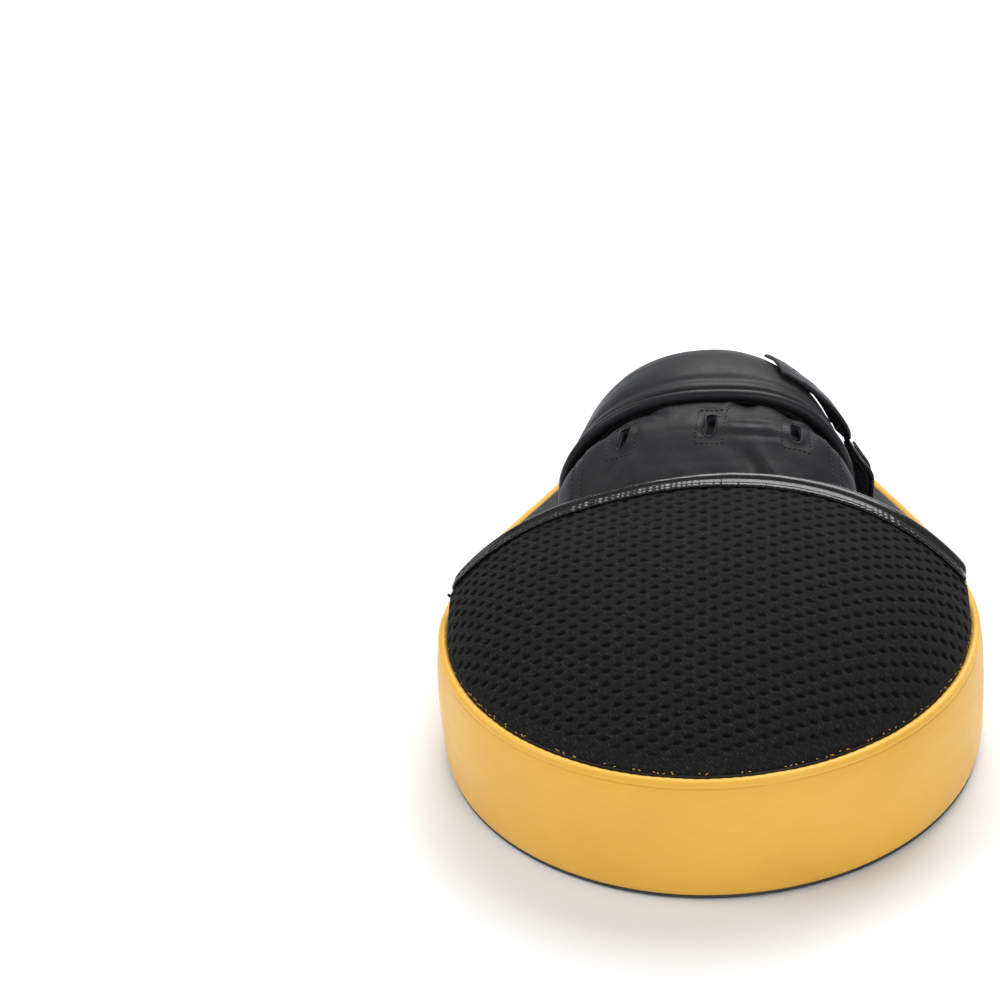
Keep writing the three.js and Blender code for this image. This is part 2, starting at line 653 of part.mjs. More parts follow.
function buildClosure() {
  const wall = 1.3;
  const flap = sheetBody(
    flapSurface(0, 0, 1, FLAP_FRONT, FLAP_BACK),
    flapSurface(wall, 0, 1, FLAP_FRONT, FLAP_BACK), 8, 10,
  );
  addPiece('closure_flap', flap, leatherBlack);
  const inner = wall + GAP;
  const lining = sheetBody(
    flapSurface(inner, 0, 0.97, FLAP_FRONT + 1, FLAP_BACK - 1),
    flapSurface(inner + 0.8, 0, 0.97, FLAP_FRONT + 1, FLAP_BACK - 1), 6, 8,
  );
  addPiece('flap_lining', lining, textileBlack);
  const loop = sheetBody(
    flapSurface(-GAP - 1, 0.25, 0.9, FLAP_FRONT + 6, FLAP_BACK - 6),
    flapSurface(-GAP, 0.25, 0.9, FLAP_FRONT + 6, FLAP_BACK - 6), 5, 6,
  );
  addPiece('loop_patch', loop, textileBlack);

  const anchorWidth = 13;
  const anchorHeight = 2.4;
  const anchor = new THREE.BoxGeometry(anchorWidth, STRAP_BACK - STRAP_FRONT - 4, anchorHeight, 1, 4, 1);
  const anchorY = (STRAP_FRONT + STRAP_BACK) / 2;
  anchor.translate(-STRAP_HALF + anchorWidth / 2, anchorY, PAD_TOP + GAP + anchorHeight / 2);
  addPiece('strap_anchor', followBack(anchor), leatherBlack);
}

buildPad();
buildHood();
buildGlove();
buildThumb();
buildPalm();
buildStrap();
buildTab();
buildClosure();

export default mitt;
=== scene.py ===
"""Looks of the focus mitt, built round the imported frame. Millimetres inside, metres in Blender."""

import math

import bmesh
import bpy
import numpy as np
from mathutils import Matrix, Vector


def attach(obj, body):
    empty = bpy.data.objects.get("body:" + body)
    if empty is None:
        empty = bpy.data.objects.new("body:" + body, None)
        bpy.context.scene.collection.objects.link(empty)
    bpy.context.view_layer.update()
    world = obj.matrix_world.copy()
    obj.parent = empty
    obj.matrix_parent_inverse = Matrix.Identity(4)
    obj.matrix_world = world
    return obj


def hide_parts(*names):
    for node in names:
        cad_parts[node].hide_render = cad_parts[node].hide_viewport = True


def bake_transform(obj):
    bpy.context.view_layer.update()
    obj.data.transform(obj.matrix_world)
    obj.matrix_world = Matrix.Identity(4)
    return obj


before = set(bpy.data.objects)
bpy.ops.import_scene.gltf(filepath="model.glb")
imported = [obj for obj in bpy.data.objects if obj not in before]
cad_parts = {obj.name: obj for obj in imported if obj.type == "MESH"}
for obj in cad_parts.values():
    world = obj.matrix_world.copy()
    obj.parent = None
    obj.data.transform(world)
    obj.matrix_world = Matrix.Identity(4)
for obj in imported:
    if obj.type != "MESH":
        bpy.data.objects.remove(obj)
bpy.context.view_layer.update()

MM = 0.001

# ---------------------------------------------------------------- the mitt's main sizes
WIDE_Y = -51.0
NARROW_Y = 81.0
WIDE_R = 94.0
NARROW_R = 64.0
SIDE_R = 602.0
WALL_LOW = 6.1
WALL_HIGH = 42.2
GUSSET_FOOT = 1.9
GUSSET_TOP = 43.9
GUSSET_THICK = 1.5
BASE = 47.1
TAPER_START = -60.0
TAPER_END = 125.0
TAPER_DROP = 31.0
STAND_REACH = 14.0
STRAP_REACH = 10.0
FLAP_REACH = 9.0

HOOD_R = 89.2
MOUTH_Y = -18.0
MOUTH_SWEEP = 22.0
MOUTH_HALF = 88.5
HOOD_TOP = 83.0
MOUTH_FOOT = 50.1
LEAN = 0.04

STRAP_FRONT = 24.0
STRAP_BACK = 62.0
STRAP_FOOT = 50.4
STRAP_TOP = 95.8
STRAP_HALF_FREE = 53.0
STRAP_HALF_SEWN = 55.0

PATCH_Y = -12.4
PATCH_R = 30.5
PATCH_SEAM_R = 28.0
THUMB_X = 64.0
PALM_Y = -12.0
WRIST_Y = 46.0

WAVE_OCTAVES = 3
BEAD_SIDES = 20
DISC_POINTS = 360
INNER_R = 34.0
INNER_SHARE = 0.36
HOOD_BACK = 3.4
MESH_THICK = 2.4
LINING_THICK = 0.9
CUSHION_RINGS = 12
CUSHION_POINTS = 88
PUFF_FRAMES = 20
# half the step over which a direction along a path or a surface is taken
NEAR = 0.4

# spacer mesh: columns of holes, each column shifted along from the last
HOLE_ACROSS = 3.9
HOLE_ALONG = 4.9
HOLE_SHIFT = 0.36
HOLE_HALF_ACROSS = 1.65
HOLE_HALF_ALONG = 0.88
YARN_SLANT = -0.7
YARN_SIZE = (1 / 200, 1 / 50, 1)

# the printed mark on the patch, in metres
INK_RING_IN = 0.0195
INK_RING_OUT = 0.0242
INK_DOT = 0.0062
INK_SOFT = 0.0003
INK_WOBBLE = 0.00018


# ---------------------------------------------------------------- small maths
def smooth(x, a, b):
    t = np.clip((np.asarray(x, float) - a) / (b - a), 0, 1)
    return t * t * (3 - 2 * t)


def bump(x, centre, width):
    return np.exp(-(((np.asarray(x, float) - centre) / width) ** 2))


def unit(v):
    return v / np.maximum(np.linalg.norm(v, axis=-1, keepdims=True), 1e-9)


def points(x, y, z):
    return np.stack(np.broadcast_arrays(x, y, z), -1)


def samples(count, length, edge):
    """Steps from 0 to 1 with extra ones near both ends, for a rounded edge of that size."""
    near = np.array([0, 0.06, 0.22, 0.5, 0.85]) * edge / length
    middle = np.linspace(1.2 * edge / length, 1 - 1.2 * edge / length, count)
    return np.concatenate([near, middle, 1 - near[::-1]])


def sheet_grid(across, along, edge):
    """The u and v of a sheet's points. across and along are each (steps, length)."""
    return np.meshgrid(samples(*across, edge), samples(*along, edge), indexing="ij")


def catmull(values, t):
    """Smooth curve through a list of numbers, even in the index, at t from 0 to 1."""
    v = np.asarray(values, float)
    p = np.clip(t, 0, 1) * (len(v) - 1)
    i = np.minimum(p.astype(int), len(v) - 2)
    w = p - i
    a = v[np.maximum(i - 1, 0)]
    b = v[i]
    c = v[i + 1]
    d = v[np.minimum(i + 2, len(v) - 1)]
    m0 = (c - a) / 2
    m1 = (d - b) / 2
    return (2 * b - 2 * c + m0 + m1) * w**3 + (3 * c - 3 * b - 2 * m0 - m1) * w**2 + m0 * w + b


def waves(x, y, seed, size):
    """Soft seeded noise, about -1 to 1, with features of that size."""
    rng = np.random.default_rng(seed)
    total = np.zeros(np.broadcast(x, y).shape)
    weight = 1.0
    for _ in range(WAVE_OCTAVES):
        for _ in range(6):
            turn = rng.uniform(0, 2 * math.pi)
            phase = rng.uniform(0, 2 * math.pi)
            k = 2 * math.pi / (size * rng.uniform(0.7, 1.5))
            total = total + weight * np.sin(k * (x * math.cos(turn) + y * math.sin(turn)) + phase) / 3
        weight *= 0.5
        size *= 0.5
    return total / 1.6


def normals_of(p, closed_u=False, closed_v=False):
    def slope(axis, closed):
        if closed:
            return np.roll(p, -1, axis) - np.roll(p, 1, axis)
        return np.gradient(p, axis=axis)

    return unit(np.cross(slope(0, closed_u), slope(1, closed_v)))


def arc_lengths(p, axis):
    step = np.linalg.norm(np.diff(p, axis=axis), axis=2)
    shape = list(p.shape[:2])
    shape[axis] = 1
    return np.concatenate([np.zeros(shape), np.cumsum(step, axis=axis)], axis=axis)


# ---------------------------------------------------------------- meshes
def make_object(name, verts, faces):
    mesh = bpy.data.meshes.new(name)
    mesh.from_pydata([tuple(v) for v in np.asarray(verts, float) * MM], [], faces)
    mesh.update()
    obj = bpy.data.objects.new(name, mesh)
    bpy.context.scene.collection.objects.link(obj)
    bm = bmesh.new()
    bm.from_mesh(mesh)
    bmesh.ops.recalc_face_normals(bm, faces=bm.faces)
    if bm.calc_volume(signed=True) < 0:
        bmesh.ops.reverse_faces(bm, faces=bm.faces)
    bm.to_mesh(mesh)
    bm.free()
    mesh.polygons.foreach_set("use_smooth", [True] * len(mesh.polygons))
    return obj


def end_caps(index):
    return [[int(k) for k in index[0]], [int(k) for k in index[-1][::-1]]]


def grid_faces(index, closed_u=False, closed_v=False):
    a = index
    if closed_u:
        a = np.concatenate([a, a[:1]], 0)
    if closed_v:
        a = np.concatenate([a, a[:, :1]], 1)
    return np.stack([a[:-1, :-1], a[1:, :-1], a[1:, 1:], a[:-1, 1:]], -1).reshape(-1, 4).tolist()


def loft_object(name, rows):
    """A skin through rows of closed sections, with a flat face at each end."""
    index = np.arange(rows.shape[0] * rows.shape[1]).reshape(rows.shape[:2])
    return make_object(name, rows.reshape(-1, 3), grid_faces(index, closed_v=True) + end_caps(index))


def sheet_object(name, p, top, bottom, edge=None, uv=None, coarse=1, outward=(0, 0, 1)):
    """A closed sheet round the grid p, from offset bottom to offset top, with rounded edges.
    outward says which way the offsets go, and coarse thins out the grid of the under side."""
    n = normals_of(p)
    if (n * np.array(outward, float)).sum() < 0:
        n = -n
    top = np.broadcast_to(np.asarray(top, float), p.shape[:2])
    bottom = np.broadcast_to(np.asarray(bottom, float), p.shape[:2])
    if edge is None:
        edge = float(np.median(top - bottom)) * 0.6
    lu = arc_lengths(p, 0)
    lv = arc_lengths(p, 1)
    near = np.minimum(np.minimum(lu, lu[-1:] - lu), np.minimum(lv, lv[:, -1:] - lv))
    profile = np.sqrt(np.clip(1 - (1 - np.clip(near / edge, 0, 1)) ** 2, 0, 1))
    middle = (top + bottom) / 2
    half = (top - bottom) / 2 * profile
    upper = p + n * (middle + half)[..., None]
    lower = p + n * (middle - half)[..., None]
    nu, nv = p.shape[:2]
    index = np.arange(nu * nv).reshape(nu, nv)
    verts = [upper.reshape(-1, 3)]
    faces = grid_faces(index)
    under = index.copy()
    iu = np.arange(coarse, nu - 1, coarse)
    iv = np.arange(coarse, nv - 1, coarse)
    inner = nu * nv + np.arange(len(iu) * len(iv)).reshape(len(iu), len(iv))
    under[np.ix_(iu, iv)] = inner
    verts.append(lower[np.ix_(iu, iv)].reshape(-1, 3))
    cu = np.unique(np.r_[np.arange(0, nu, coarse), nu - 1])
    cv = np.unique(np.r_[np.arange(0, nv, coarse), nv - 1])
    for a, b in zip(cu[:-1], cu[1:]):
        for c, d in zip(cv[:-1], cv[1:]):
            ring = [under[i, c] for i in (range(a, b) if c == 0 else [a])]
            ring += [under[b, j] for j in (range(c, d) if b == nu - 1 else [c])]
            ring += [under[i, d] for i in (range(b, a, -1) if d == nv - 1 else [b])]
            ring += [under[a, j] for j in (range(d, c, -1) if a == 0 else [d])]
            faces.append([int(k) for k in ring[::-1]])
    obj = make_object(name, np.concatenate(verts), faces)
    if uv is not None:
        paint_uv(obj, uv.reshape(-1, 2), inner.reshape(-1), uv[np.ix_(iu, iv)].reshape(-1, 2))
    return obj


def paint_uv(obj, uv, inner, inner_uv):
    flat = np.zeros((len(obj.data.vertices), 2))
    flat[: len(uv)] = uv
    flat[inner] = inner_uv
    layer = obj.data.uv_layers.new(name="cloth")
    loops = np.zeros(len(obj.data.loops), int)
    obj.data.loops.foreach_get("vertex_index", loops)
    layer.data.foreach_set("uv", (flat[loops] * 0.01).astype(np.float32).ravel())


def tube_object(name, path, radius, sides=14, closed=False):
    """A tube along a path, with round ends unless it is closed."""
    path = np.asarray(path, float)
    n = len(path)
    radius = np.broadcast_to(np.asarray(radius, float), (n,)).copy()
    if closed:
        tangent = unit(np.roll(path, -1, 0) - np.roll(path, 1, 0))
    else:
        tangent = unit(np.gradient(path, axis=0))
        cap = np.array([0.02, 0.35, 0.62, 0.82, 0.95])
        out = np.array([1.0, 0.94, 0.78, 0.57, 0.31])
        start = path[0] - tangent[0] * radius[0] * out[:, None]
        finish = path[-1] + tangent[-1] * radius[-1] * out[::-1, None]
        path = np.concatenate([start, path, finish])
        tangent = np.concatenate([[tangent[0]] * 5, tangent, [tangent[-1]] * 5])
        radius = np.concatenate([radius[0] * cap, radius, radius[-1] * cap[::-1]])
        n = len(path)
    up = np.array([0.0, 0.0, 1.0])
    side = unit(np.cross(tangent, up) + 1e-6)
    lift = unit(np.cross(side, tangent))
    turn = np.arange(sides) * 2 * math.pi / sides
    ring = side[:, None] * np.cos(turn)[None, :, None]
    ring = ring + lift[:, None] * np.sin(turn)[None, :, None]
    verts = path[:, None] + ring * radius[:, None, None]
    if not closed:
        return loft_object(name, verts)
    index = np.arange(n * sides).reshape(n, sides)
    return make_object(name, verts.reshape(-1, 3), grid_faces(index, True, True))


def ring_object(name, inset, height, count=760, wobble=None):
    """A closed section of insets and heights carried round the pad's outline."""
    xy, out, s = outline(count)
    p = np.zeros((count, len(inset), 3))
    p[..., :2] = xy[:, None] - out[:, None] * np.asarray(inset)[None, :, None]
    p[..., 2] = np.asarray(height)[None]
    if wobble is not None:
        p = p + normals_of(p, True, True) * wobble(s[:, None], np.asarray(height)[None])[..., None]
    index = np.arange(count * len(inset)).reshape(count, len(inset))
    return make_object(name, p.reshape(-1, 3), grid_faces(index, True, True))


def stitch_object(name, spots, length, radius, lift=0.0):
    """Short thread bars: each spot is (point, direction along the seam, surface normal)."""
    sides = 6
    along = np.array([-0.5, -0.44, -0.28, 0.0, 0.28, 0.44, 0.5])
    girth = np.array([0.35, 0.8, 1.0, 1.0, 1.0, 0.8, 0.35])
    dip = np.array([-1.1, -0.55, -0.05, 0.25, -0.05, -0.55, -1.1])
    turn = np.arange(sides) * 2 * math.pi / sides
    verts = []
    faces = []
    for k, (point, direction, normal) in enumerate(spots):
        d = unit(np.asarray(direction, float))
        n = unit(np.asarray(normal, float))
        d = unit(d - n * (d @ n))
        b = np.cross(n, d)
        middle = point + d * (along * length)[:, None] + n * (dip * radius + lift)[:, None]
        ring = b * np.cos(turn)[:, None] + n * np.sin(turn)[:, None]
        verts.append((middle[:, None] + ring[None] * (girth * radius)[:, None, None]).reshape(-1, 3))
        index = np.arange(len(along) * sides).reshape(len(along), sides) + k * len(along) * sides
        faces += grid_faces(index, closed_v=True) + end_caps(index)
    return make_object(name, np.concatenate(verts), faces)


def spots_along(path, normals, pitch):
    """Even places along a path for stitches."""
    path = np.asarray(path, float)
    s = np.r_[0, np.cumsum(np.linalg.norm(np.diff(path, axis=0), axis=1))]
    count = max(1, int(s[-1] / pitch))
    at = (np.arange(count) + 0.5) * s[-1] / count

    def read(values, where):
        return np.stack([np.interp(where, s, values[:, k]) for k in range(3)], 1)

    direction = read(path, at + NEAR) - read(path, at - NEAR)
    return list(zip(read(path, at), direction, read(normals, at)))


# ---------------------------------------------------------------- the pad's outline
def outline(count):
    """count even points round the pad, their outward directions, and the distance along."""
    gap = NARROW_Y - WIDE_Y
    a = SIDE_R - WIDE_R
    b = SIDE_R - NARROW_R
    rise = (a * a - b * b + gap * gap) / (2 * gap)
    side_x = math.sqrt(a * a - rise * rise)
    side_y = WIDE_Y + rise
    wide = math.atan2(WIDE_Y - side_y, side_x)
    narrow = math.atan2(NARROW_Y - side_y, side_x)
    arcs = [
        (0, WIDE_Y, WIDE_R, math.pi - wide, 2 * math.pi + wide),
        (-side_x, side_y, SIDE_R, wide, narrow),
        (0, NARROW_Y, NARROW_R, narrow, math.pi - narrow),
        (side_x, side_y, SIDE_R, math.pi - narrow, math.pi - wide),
    ]
    lengths = [r * (t1 - t0) for _, _, r, t0, t1 in arcs]
    s = np.arange(count) * sum(lengths) / count
    xy = np.zeros((count, 2))
    out = np.zeros((count, 2))
    start = 0.0
    for (x, y, r, t0, _), length in zip(arcs, lengths):
        here = (s >= start - 1e-9) & (s < start + length)
        turn = t0 + (s[here] - start) / r
        out[here] = np.stack([np.cos(turn), np.sin(turn)], 1)
        xy[here] = np.array([x, y]) + r * out[here]
        start += length
    return xy, out, s


def round_section(inset, z, radius):
    turn = np.arange(BEAD_SIDES) * 2 * math.pi / BEAD_SIDES
    return inset + radius * np.cos(turn), z + radius * np.sin(turn)


def disc_object(name, rings):
    """A layer filling the outline. rings are (how far out from 0 to 1, inset, z), from the middle of the
    lower side over the edge to the middle of the upper side. Inside, the rings are circles."""
    xy, out, _ = outline(DISC_POINTS)
    middle = np.array([0, PATCH_Y])
    turn = np.arctan2(xy[:, 1] - PATCH_Y, xy[:, 0])
    circle = np.stack([np.cos(turn), np.sin(turn)], 1)
    loops = []
    for reach, inset, z in rings:
        edge = xy - out * inset
        blend_in = smooth(reach, INNER_SHARE, 0.8)
        inside = middle + circle * INNER_R * reach / INNER_SHARE
        outside = middle + (edge - middle) * reach
        flat = inside * (1 - blend_in) + outside * blend_in
        loops.append(np.c_[flat, np.broadcast_to(z, (DISC_POINTS,))])
    first = np.array([[0, PATCH_Y, np.mean(rings[0][2])]])
    last = np.array([[0, PATCH_Y, np.mean(rings[-1][2])]])
    index = np.arange(len(loops) * DISC_POINTS).reshape(len(loops), DISC_POINTS)
    faces = grid_faces(index, closed_v=True)
    low = len(loops) * DISC_POINTS
    for k in range(DISC_POINTS):
        j = (k + 1) % DISC_POINTS
        faces.append([low, int(index[0, j]), int(index[0, k])])
        faces.append([low + 1, int(index[-1, k]), int(index[-1, j])])
    return make_object(name, np.concatenate(loops + [first, last]), faces)


# ---------------------------------------------------------------- materials
class Nodes:
    """Short hand for building a node material."""

    def __init__(self, name):
        self.material = bpy.data.materials.new(name)
        self.material.use_nodes = True
        self.tree = self.material.node_tree
        self.tree.nodes.clear()
        self.shader = self.add("ShaderNodeBsdfPrincipled")
        output = self.add("ShaderNodeOutputMaterial")
        self.link(self.shader.outputs["BSDF"], output.inputs["Surface"])
        self.place = self.add("ShaderNodeTexCoord").outputs["Object"]

    def add(self, kind, **values):
        """A node with these properties and inputs. Underscores stand for the spaces in an input's name."""
        node = self.tree.nodes.new(kind)
        for key, value in values.items():
            if hasattr(node, key):
                setattr(node, key, value)
            else:
                node.inputs[key.replace("_", " ")].default_value = value
        return node

    def link(self, a, b):
        self.tree.links.new(a, b)

    def feed(self, socket, value):
        """Sets a socket to a number or a colour, or links it to another socket."""
        if isinstance(value, (int, float)):
            socket.default_value = value
        elif isinstance(value, tuple):
            socket.default_value = (*value, 1)
        elif value is not None:
            self.link(value, socket)

    def math(self, kind, a, b=None, c=None):
        node = self.add("ShaderNodeMath", operation=kind)
        for socket, value in zip(node.inputs, (a, b, c)):
            self.feed(socket, value)
        return node.outputs[0]

    def stretch(self, x, y, z, source=None):
        node = self.add("ShaderNodeMapping", Scale=(x, y, z))
        self.link(source or self.place, node.inputs["Vector"])
        return node.outputs[0]

    def noise(self, scale, detail=3.0, rough=0.55, source=None, distort=0.0):
        node = self.add("ShaderNodeTexNoise", Scale=scale, Detail=detail, Roughness=rough, Distortion=distort)
        self.link(source or self.place, node.inputs["Vector"])
        return node.outputs["Fac"]

    def cells(self, scale):
        node = self.add("ShaderNodeTexVoronoi", Scale=scale)
        self.link(self.place, node.inputs["Vector"])
        return node.outputs["Distance"]

    def span(self, value, low, high, to_low=0.0, to_high=1.0):
        node = self.add("ShaderNodeMapRange", From_Min=low, From_Max=high, To_Min=to_low, To_Max=to_high)
        self.link(value, node.inputs["Value"])
        return node.outputs["Result"]

    def ramp(self, value, stops):
        node = self.add("ShaderNodeValToRGB")
        elements = node.color_ramp.elements
        while len(elements) < len(stops):
            elements.new(0.5)
        for element, (at, colour) in zip(elements, stops):
            element.position = at
            element.color = (*colour, 1)
        self.link(value, node.inputs["Fac"])
        return node.outputs["Color"]

    def tint(self, value, dark, light, low=0.3, high=0.7):
        return self.ramp(self.span(value, low, high), [(0, dark), (1, light)])

    def mix(self, fac, a, b, kind="MIX"):
        node = self.add("ShaderNodeMix", data_type="RGBA", blend_type=kind)
        for socket, value in ((node.inputs[0], fac), (node.inputs[6], a), (node.inputs[7], b)):
            self.feed(socket, value)
        return node.outputs[2]

    def colour(self, socket):
        self.link(socket, self.shader.inputs["Base Color"])

    def rough(self, value, least, most, low=0.3, high=0.7):
        self.link(self.span(value, low, high, least, most), self.shader.inputs["Roughness"])

    def set(self, **values):
        for key, value in values.items():
            self.shader.inputs[key.replace("_", " ")].default_value = value

    def bumps(self, *layers):
        """Each layer is (height socket, strength, distance in millimetres)."""
        normal = None
        for height, strength, distance in layers:
            node = self.add("ShaderNodeBump", Strength=strength, Distance=distance * MM)
            self.link(height, node.inputs["Height"])
            self.feed(node.inputs["Normal"], normal)
            normal = node.outputs["Normal"]
        self.link(normal, self.shader.inputs["Normal"])


FACE_COLOURS = ((0.045, 0.046, 0.049), (0.056, 0.058, 0.062))


def leather(name, dark, light, rough, grain, cell, sheen=0.0):
    m = Nodes(name)
    wide = m.noise(28, 4, 0.6)
    fine = m.noise(1700, 2, 0.6)
    cells = m.cells(1000 / cell)
    small = m.cells(2300 / cell)
    pores = m.span(cells, 0.0, 0.35, 0.82, 1.0)
    shade = m.ramp(pores, [(0, (0, 0, 0)), (1, (1, 1, 1))])
    m.colour(m.mix(1.0, m.tint(wide, dark, light), shade, "MULTIPLY"))
    m.rough(m.noise(160, 4, 0.6), *rough)
    m.set(Sheen_Weight=sheen, Sheen_Roughness=0.4, Specular_IOR_Level=0.22)
    m.bumps(
        (wide, 0.12, 2.0),
        (m.noise(240, 5, 0.6), 0.18 * grain, 0.5),
        (cells, 0.28 * grain, 0.12),
        (small, 0.22 * grain, 0.06),
        (fine, 0.1 * grain, 0.05),
    )
    return m.material


def yellow_leather():
    m = Nodes("yellow_leather")
    wide = m.noise(22, 3, 0.5)
    creased = m.noise(150, 5, 0.65, m.stretch(1, 1, 7), 0.4)
    colour = m.tint(wide, (0.76, 0.40, 0.032), (0.84, 0.465, 0.042))
    # Painted highlight: the ridges of the fine creases are mixed towards a pale yellow.
    painted_crease_highlight = m.span(creased, 0.5, 0.75, 0.0, 0.12)
    m.colour(m.mix(painted_crease_highlight, colour, (1.0, 0.66, 0.2)))
    m.rough(m.noise(90, 4, 0.6), 0.34, 0.5)
    m.set(Specular_IOR_Level=0.5, Sheen_Weight=0.05)
    m.bumps(
        (wide, 0.15, 2.0),
        (creased, 0.16, 0.4),
        (m.cells(900), 0.12, 0.08),
        (m.noise(1500, 3, 0.6), 0.08, 0.05),
    )
    return m.material


def spacer_mesh():
    m = Nodes("spacer_mesh")
    uv = m.add("ShaderNodeUVMap", uv_map="cloth").outputs[0]
    split = m.add("ShaderNodeSeparateXYZ")
    m.link(uv, split.inputs[0])
    across = m.math("MULTIPLY", split.outputs[0], 100.0)
    along = m.math("MULTIPLY", split.outputs[1], 100.0)
    column = m.math("ROUND", m.math("DIVIDE", across, HOLE_ACROSS))
    dx = m.math("SUBTRACT", across, m.math("MULTIPLY", column, HOLE_ACROSS))
    row = m.math("MULTIPLY_ADD", column, HOLE_SHIFT, m.math("DIVIDE", along, HOLE_ALONG))
    dy = m.math("MULTIPLY", m.math("SUBTRACT", row, m.math("ROUND", row)), HOLE_ALONG)
    ragged = m.span(m.noise(900, 3, 0.7), 0.3, 0.7, -0.35, 0.35)
    rx = m.math("POWER", m.math("DIVIDE", dx, HOLE_HALF_ACROSS), 2.0)
    ry = m.math("ABSOLUTE", m.math("DIVIDE", dy, HOLE_HALF_ALONG))
    reach = m.math("ADD", m.math("ADD", rx, ry), ragged)
    fade = m.add("ShaderNodeAttribute", attribute_name="open_mesh").outputs["Fac"]
    hole = m.math("MULTIPLY", m.span(reach, 1.2, 0.6), fade)
    slant = m.add("ShaderNodeMapping", vector_type="TEXTURE", Rotation=(0, 0, YARN_SLANT), Scale=YARN_SIZE)
    m.link(uv, slant.inputs["Vector"])
    strokes = m.noise(1.0, 3, 0.6, slant.outputs[0], 0.5)
    yarn = m.noise(1.0, 3, 0.7, m.stretch(160, 160, 1, uv), 1.5)
    fibre = m.math("MULTIPLY_ADD", strokes, 0.6, m.math("MULTIPLY", yarn, 0.4))
    stops = [(0, (0.0018, 0.0019, 0.0018)), (0.55, (0.0050, 0.0053, 0.0050)), (1, (0.038, 0.039, 0.037))]
    cloth = m.ramp(m.span(fibre, 0.36, 0.66), stops)
    # The holes are painted near-black: partly the dark layer under the mesh, partly painted shade in the
    # holes.
    m.colour(m.mix(hole, cloth, (0.0012, 0.0012, 0.0012)))
    m.rough(fibre, 0.7, 0.95)
    m.set(Specular_IOR_Level=0.15, Sheen_Weight=0.02, Sheen_Roughness=0.5)
    m.bumps((m.math("SUBTRACT", 1.0, hole), 0.5, 0.5), (strokes, 0.7, 0.35), (yarn, 0.5, 0.2))
    return m.material


def patent_vinyl():
    m = Nodes("patent_vinyl")
    crinkle = m.noise(420, 4, 0.65, m.stretch(0.35, 1, 1), 1.2)
    fine = m.noise(1300, 3, 0.6)
    m.colour(m.tint(crinkle, (0.004, 0.004, 0.0045), (0.012, 0.012, 0.013)))
    m.rough(fine, 0.08, 0.18)
    m.set(Specular_IOR_Level=0.4, Coat_Weight=0.15, Coat_Roughness=0.05)
    m.bumps((crinkle, 0.3, 0.35), (fine, 0.08, 0.08))
    return m.material


def woven(name, dark, light, pitch):
    m = Nodes(name)
    bands = []
    for axis in ("X", "Y"):
        node = m.add("ShaderNodeTexWave", wave_type="BANDS", bands_direction=axis, Distortion=1.2, Detail=2)
        node.inputs["Scale"].default_value = 314 / pitch
        m.link(m.place, node.inputs["Vector"])
        bands.append(node.outputs["Fac"])
    cloth = m.math("MULTIPLY", *bands)
    fuzz = m.noise(1400, 3, 0.7)
    height = m.math("MULTIPLY_ADD", fuzz, 0.6, cloth)
    m.colour(m.tint(height, dark, light, 0.2, 1.1))
    m.rough(fuzz, 0.8, 0.9)
    m.set(Sheen_Weight=0.1, Sheen_Roughness=0.5, Specular_IOR_Level=0.2)
    m.bumps((cloth, 0.45, 0.3), (fuzz, 0.3, 0.2))
    return m.material


def pile(name, dark, light, scale, depth):
    m = Nodes(name)
    loops = m.cells(scale)
    fuzz = m.noise(scale * 1.6, 4, 0.8, None, 2.0)
    m.colour(m.tint(fuzz, dark, light))
    m.rough(fuzz, 0.8, 0.97)
    m.set(Sheen_Weight=0.15, Specular_IOR_Level=0.2)
    m.bumps((loops, 0.8, depth), (fuzz, 0.6, depth * 0.6))
    return m.material


def foam(name, dark, light):
    m = Nodes(name)
    pores = m.cells(700)
    fuzz = m.noise(500, 4, 0.7)
    m.colour(m.tint(fuzz, dark, light))
    m.rough(pores, 0.8, 0.95, 0.0, 0.5)
    m.bumps((pores, 0.6, 0.4), (fuzz, 0.3, 0.3))
    return m.material


def board():
    m = Nodes("backing_board")
    fibres = m.noise(40, 5, 0.7, m.stretch(1, 12, 1), 0.5)
    m.colour(m.tint(fibres, (0.10, 0.065, 0.035), (0.22, 0.155, 0.09)))
    m.rough(fibres, 0.7, 0.88)
    m.bumps((fibres, 0.3, 0.3))
    return m.material


def target_face():
    """Face leather with a plain printed ring round the middle of the patch."""
    m = Nodes("target_face")
    split = m.add("ShaderNodeSeparateXYZ")
    m.link(m.place, split.inputs[0])
    y = m.math("SUBTRACT", split.outputs[1], PATCH_Y * MM)
    radius = m.math("SQRT", m.math("ADD", m.math("POWER", split.outputs[0], 2.0), m.math("POWER", y, 2.0)))
    wobble = m.span(m.noise(900, 3, 0.6), 0.3, 0.7, -INK_WOBBLE, INK_WOBBLE)
    edge = m.math("ADD", radius, wobble)
    from_inside = m.span(edge, INK_RING_IN, INK_RING_IN + INK_SOFT)
    from_outside = m.span(edge, INK_RING_OUT, INK_RING_OUT - INK_SOFT)
    dot = m.span(edge, INK_DOT, INK_DOT - INK_SOFT)
    ink = m.math("MAXIMUM", m.math("MULTIPLY", from_inside, from_outside), dot)
    cells = m.cells(900)
    m.colour(m.mix(ink, m.tint(m.noise(30, 4, 0.6), *FACE_COLOURS), (0.80, 0.45, 0.06)))
    m.rough(m.noise(160, 4, 0.6), 0.42, 0.55)
    m.bumps((cells, 0.18, 0.08), (m.noise(1500, 3, 0.6), 0.1, 0.05), (ink, 0.3, 0.06))
    return m.material


def thread(name, colour):
    m = Nodes(name)
    twist = m.noise(1800, 3, 0.6, m.stretch(1, 1, 2.5))
    dark = tuple(0.55 * c for c in colour)
    m.colour(m.tint(twist, dark, colour))
    m.rough(twist, 0.5, 0.75)
    m.bumps((twist, 0.5, 0.1))
    return m.material


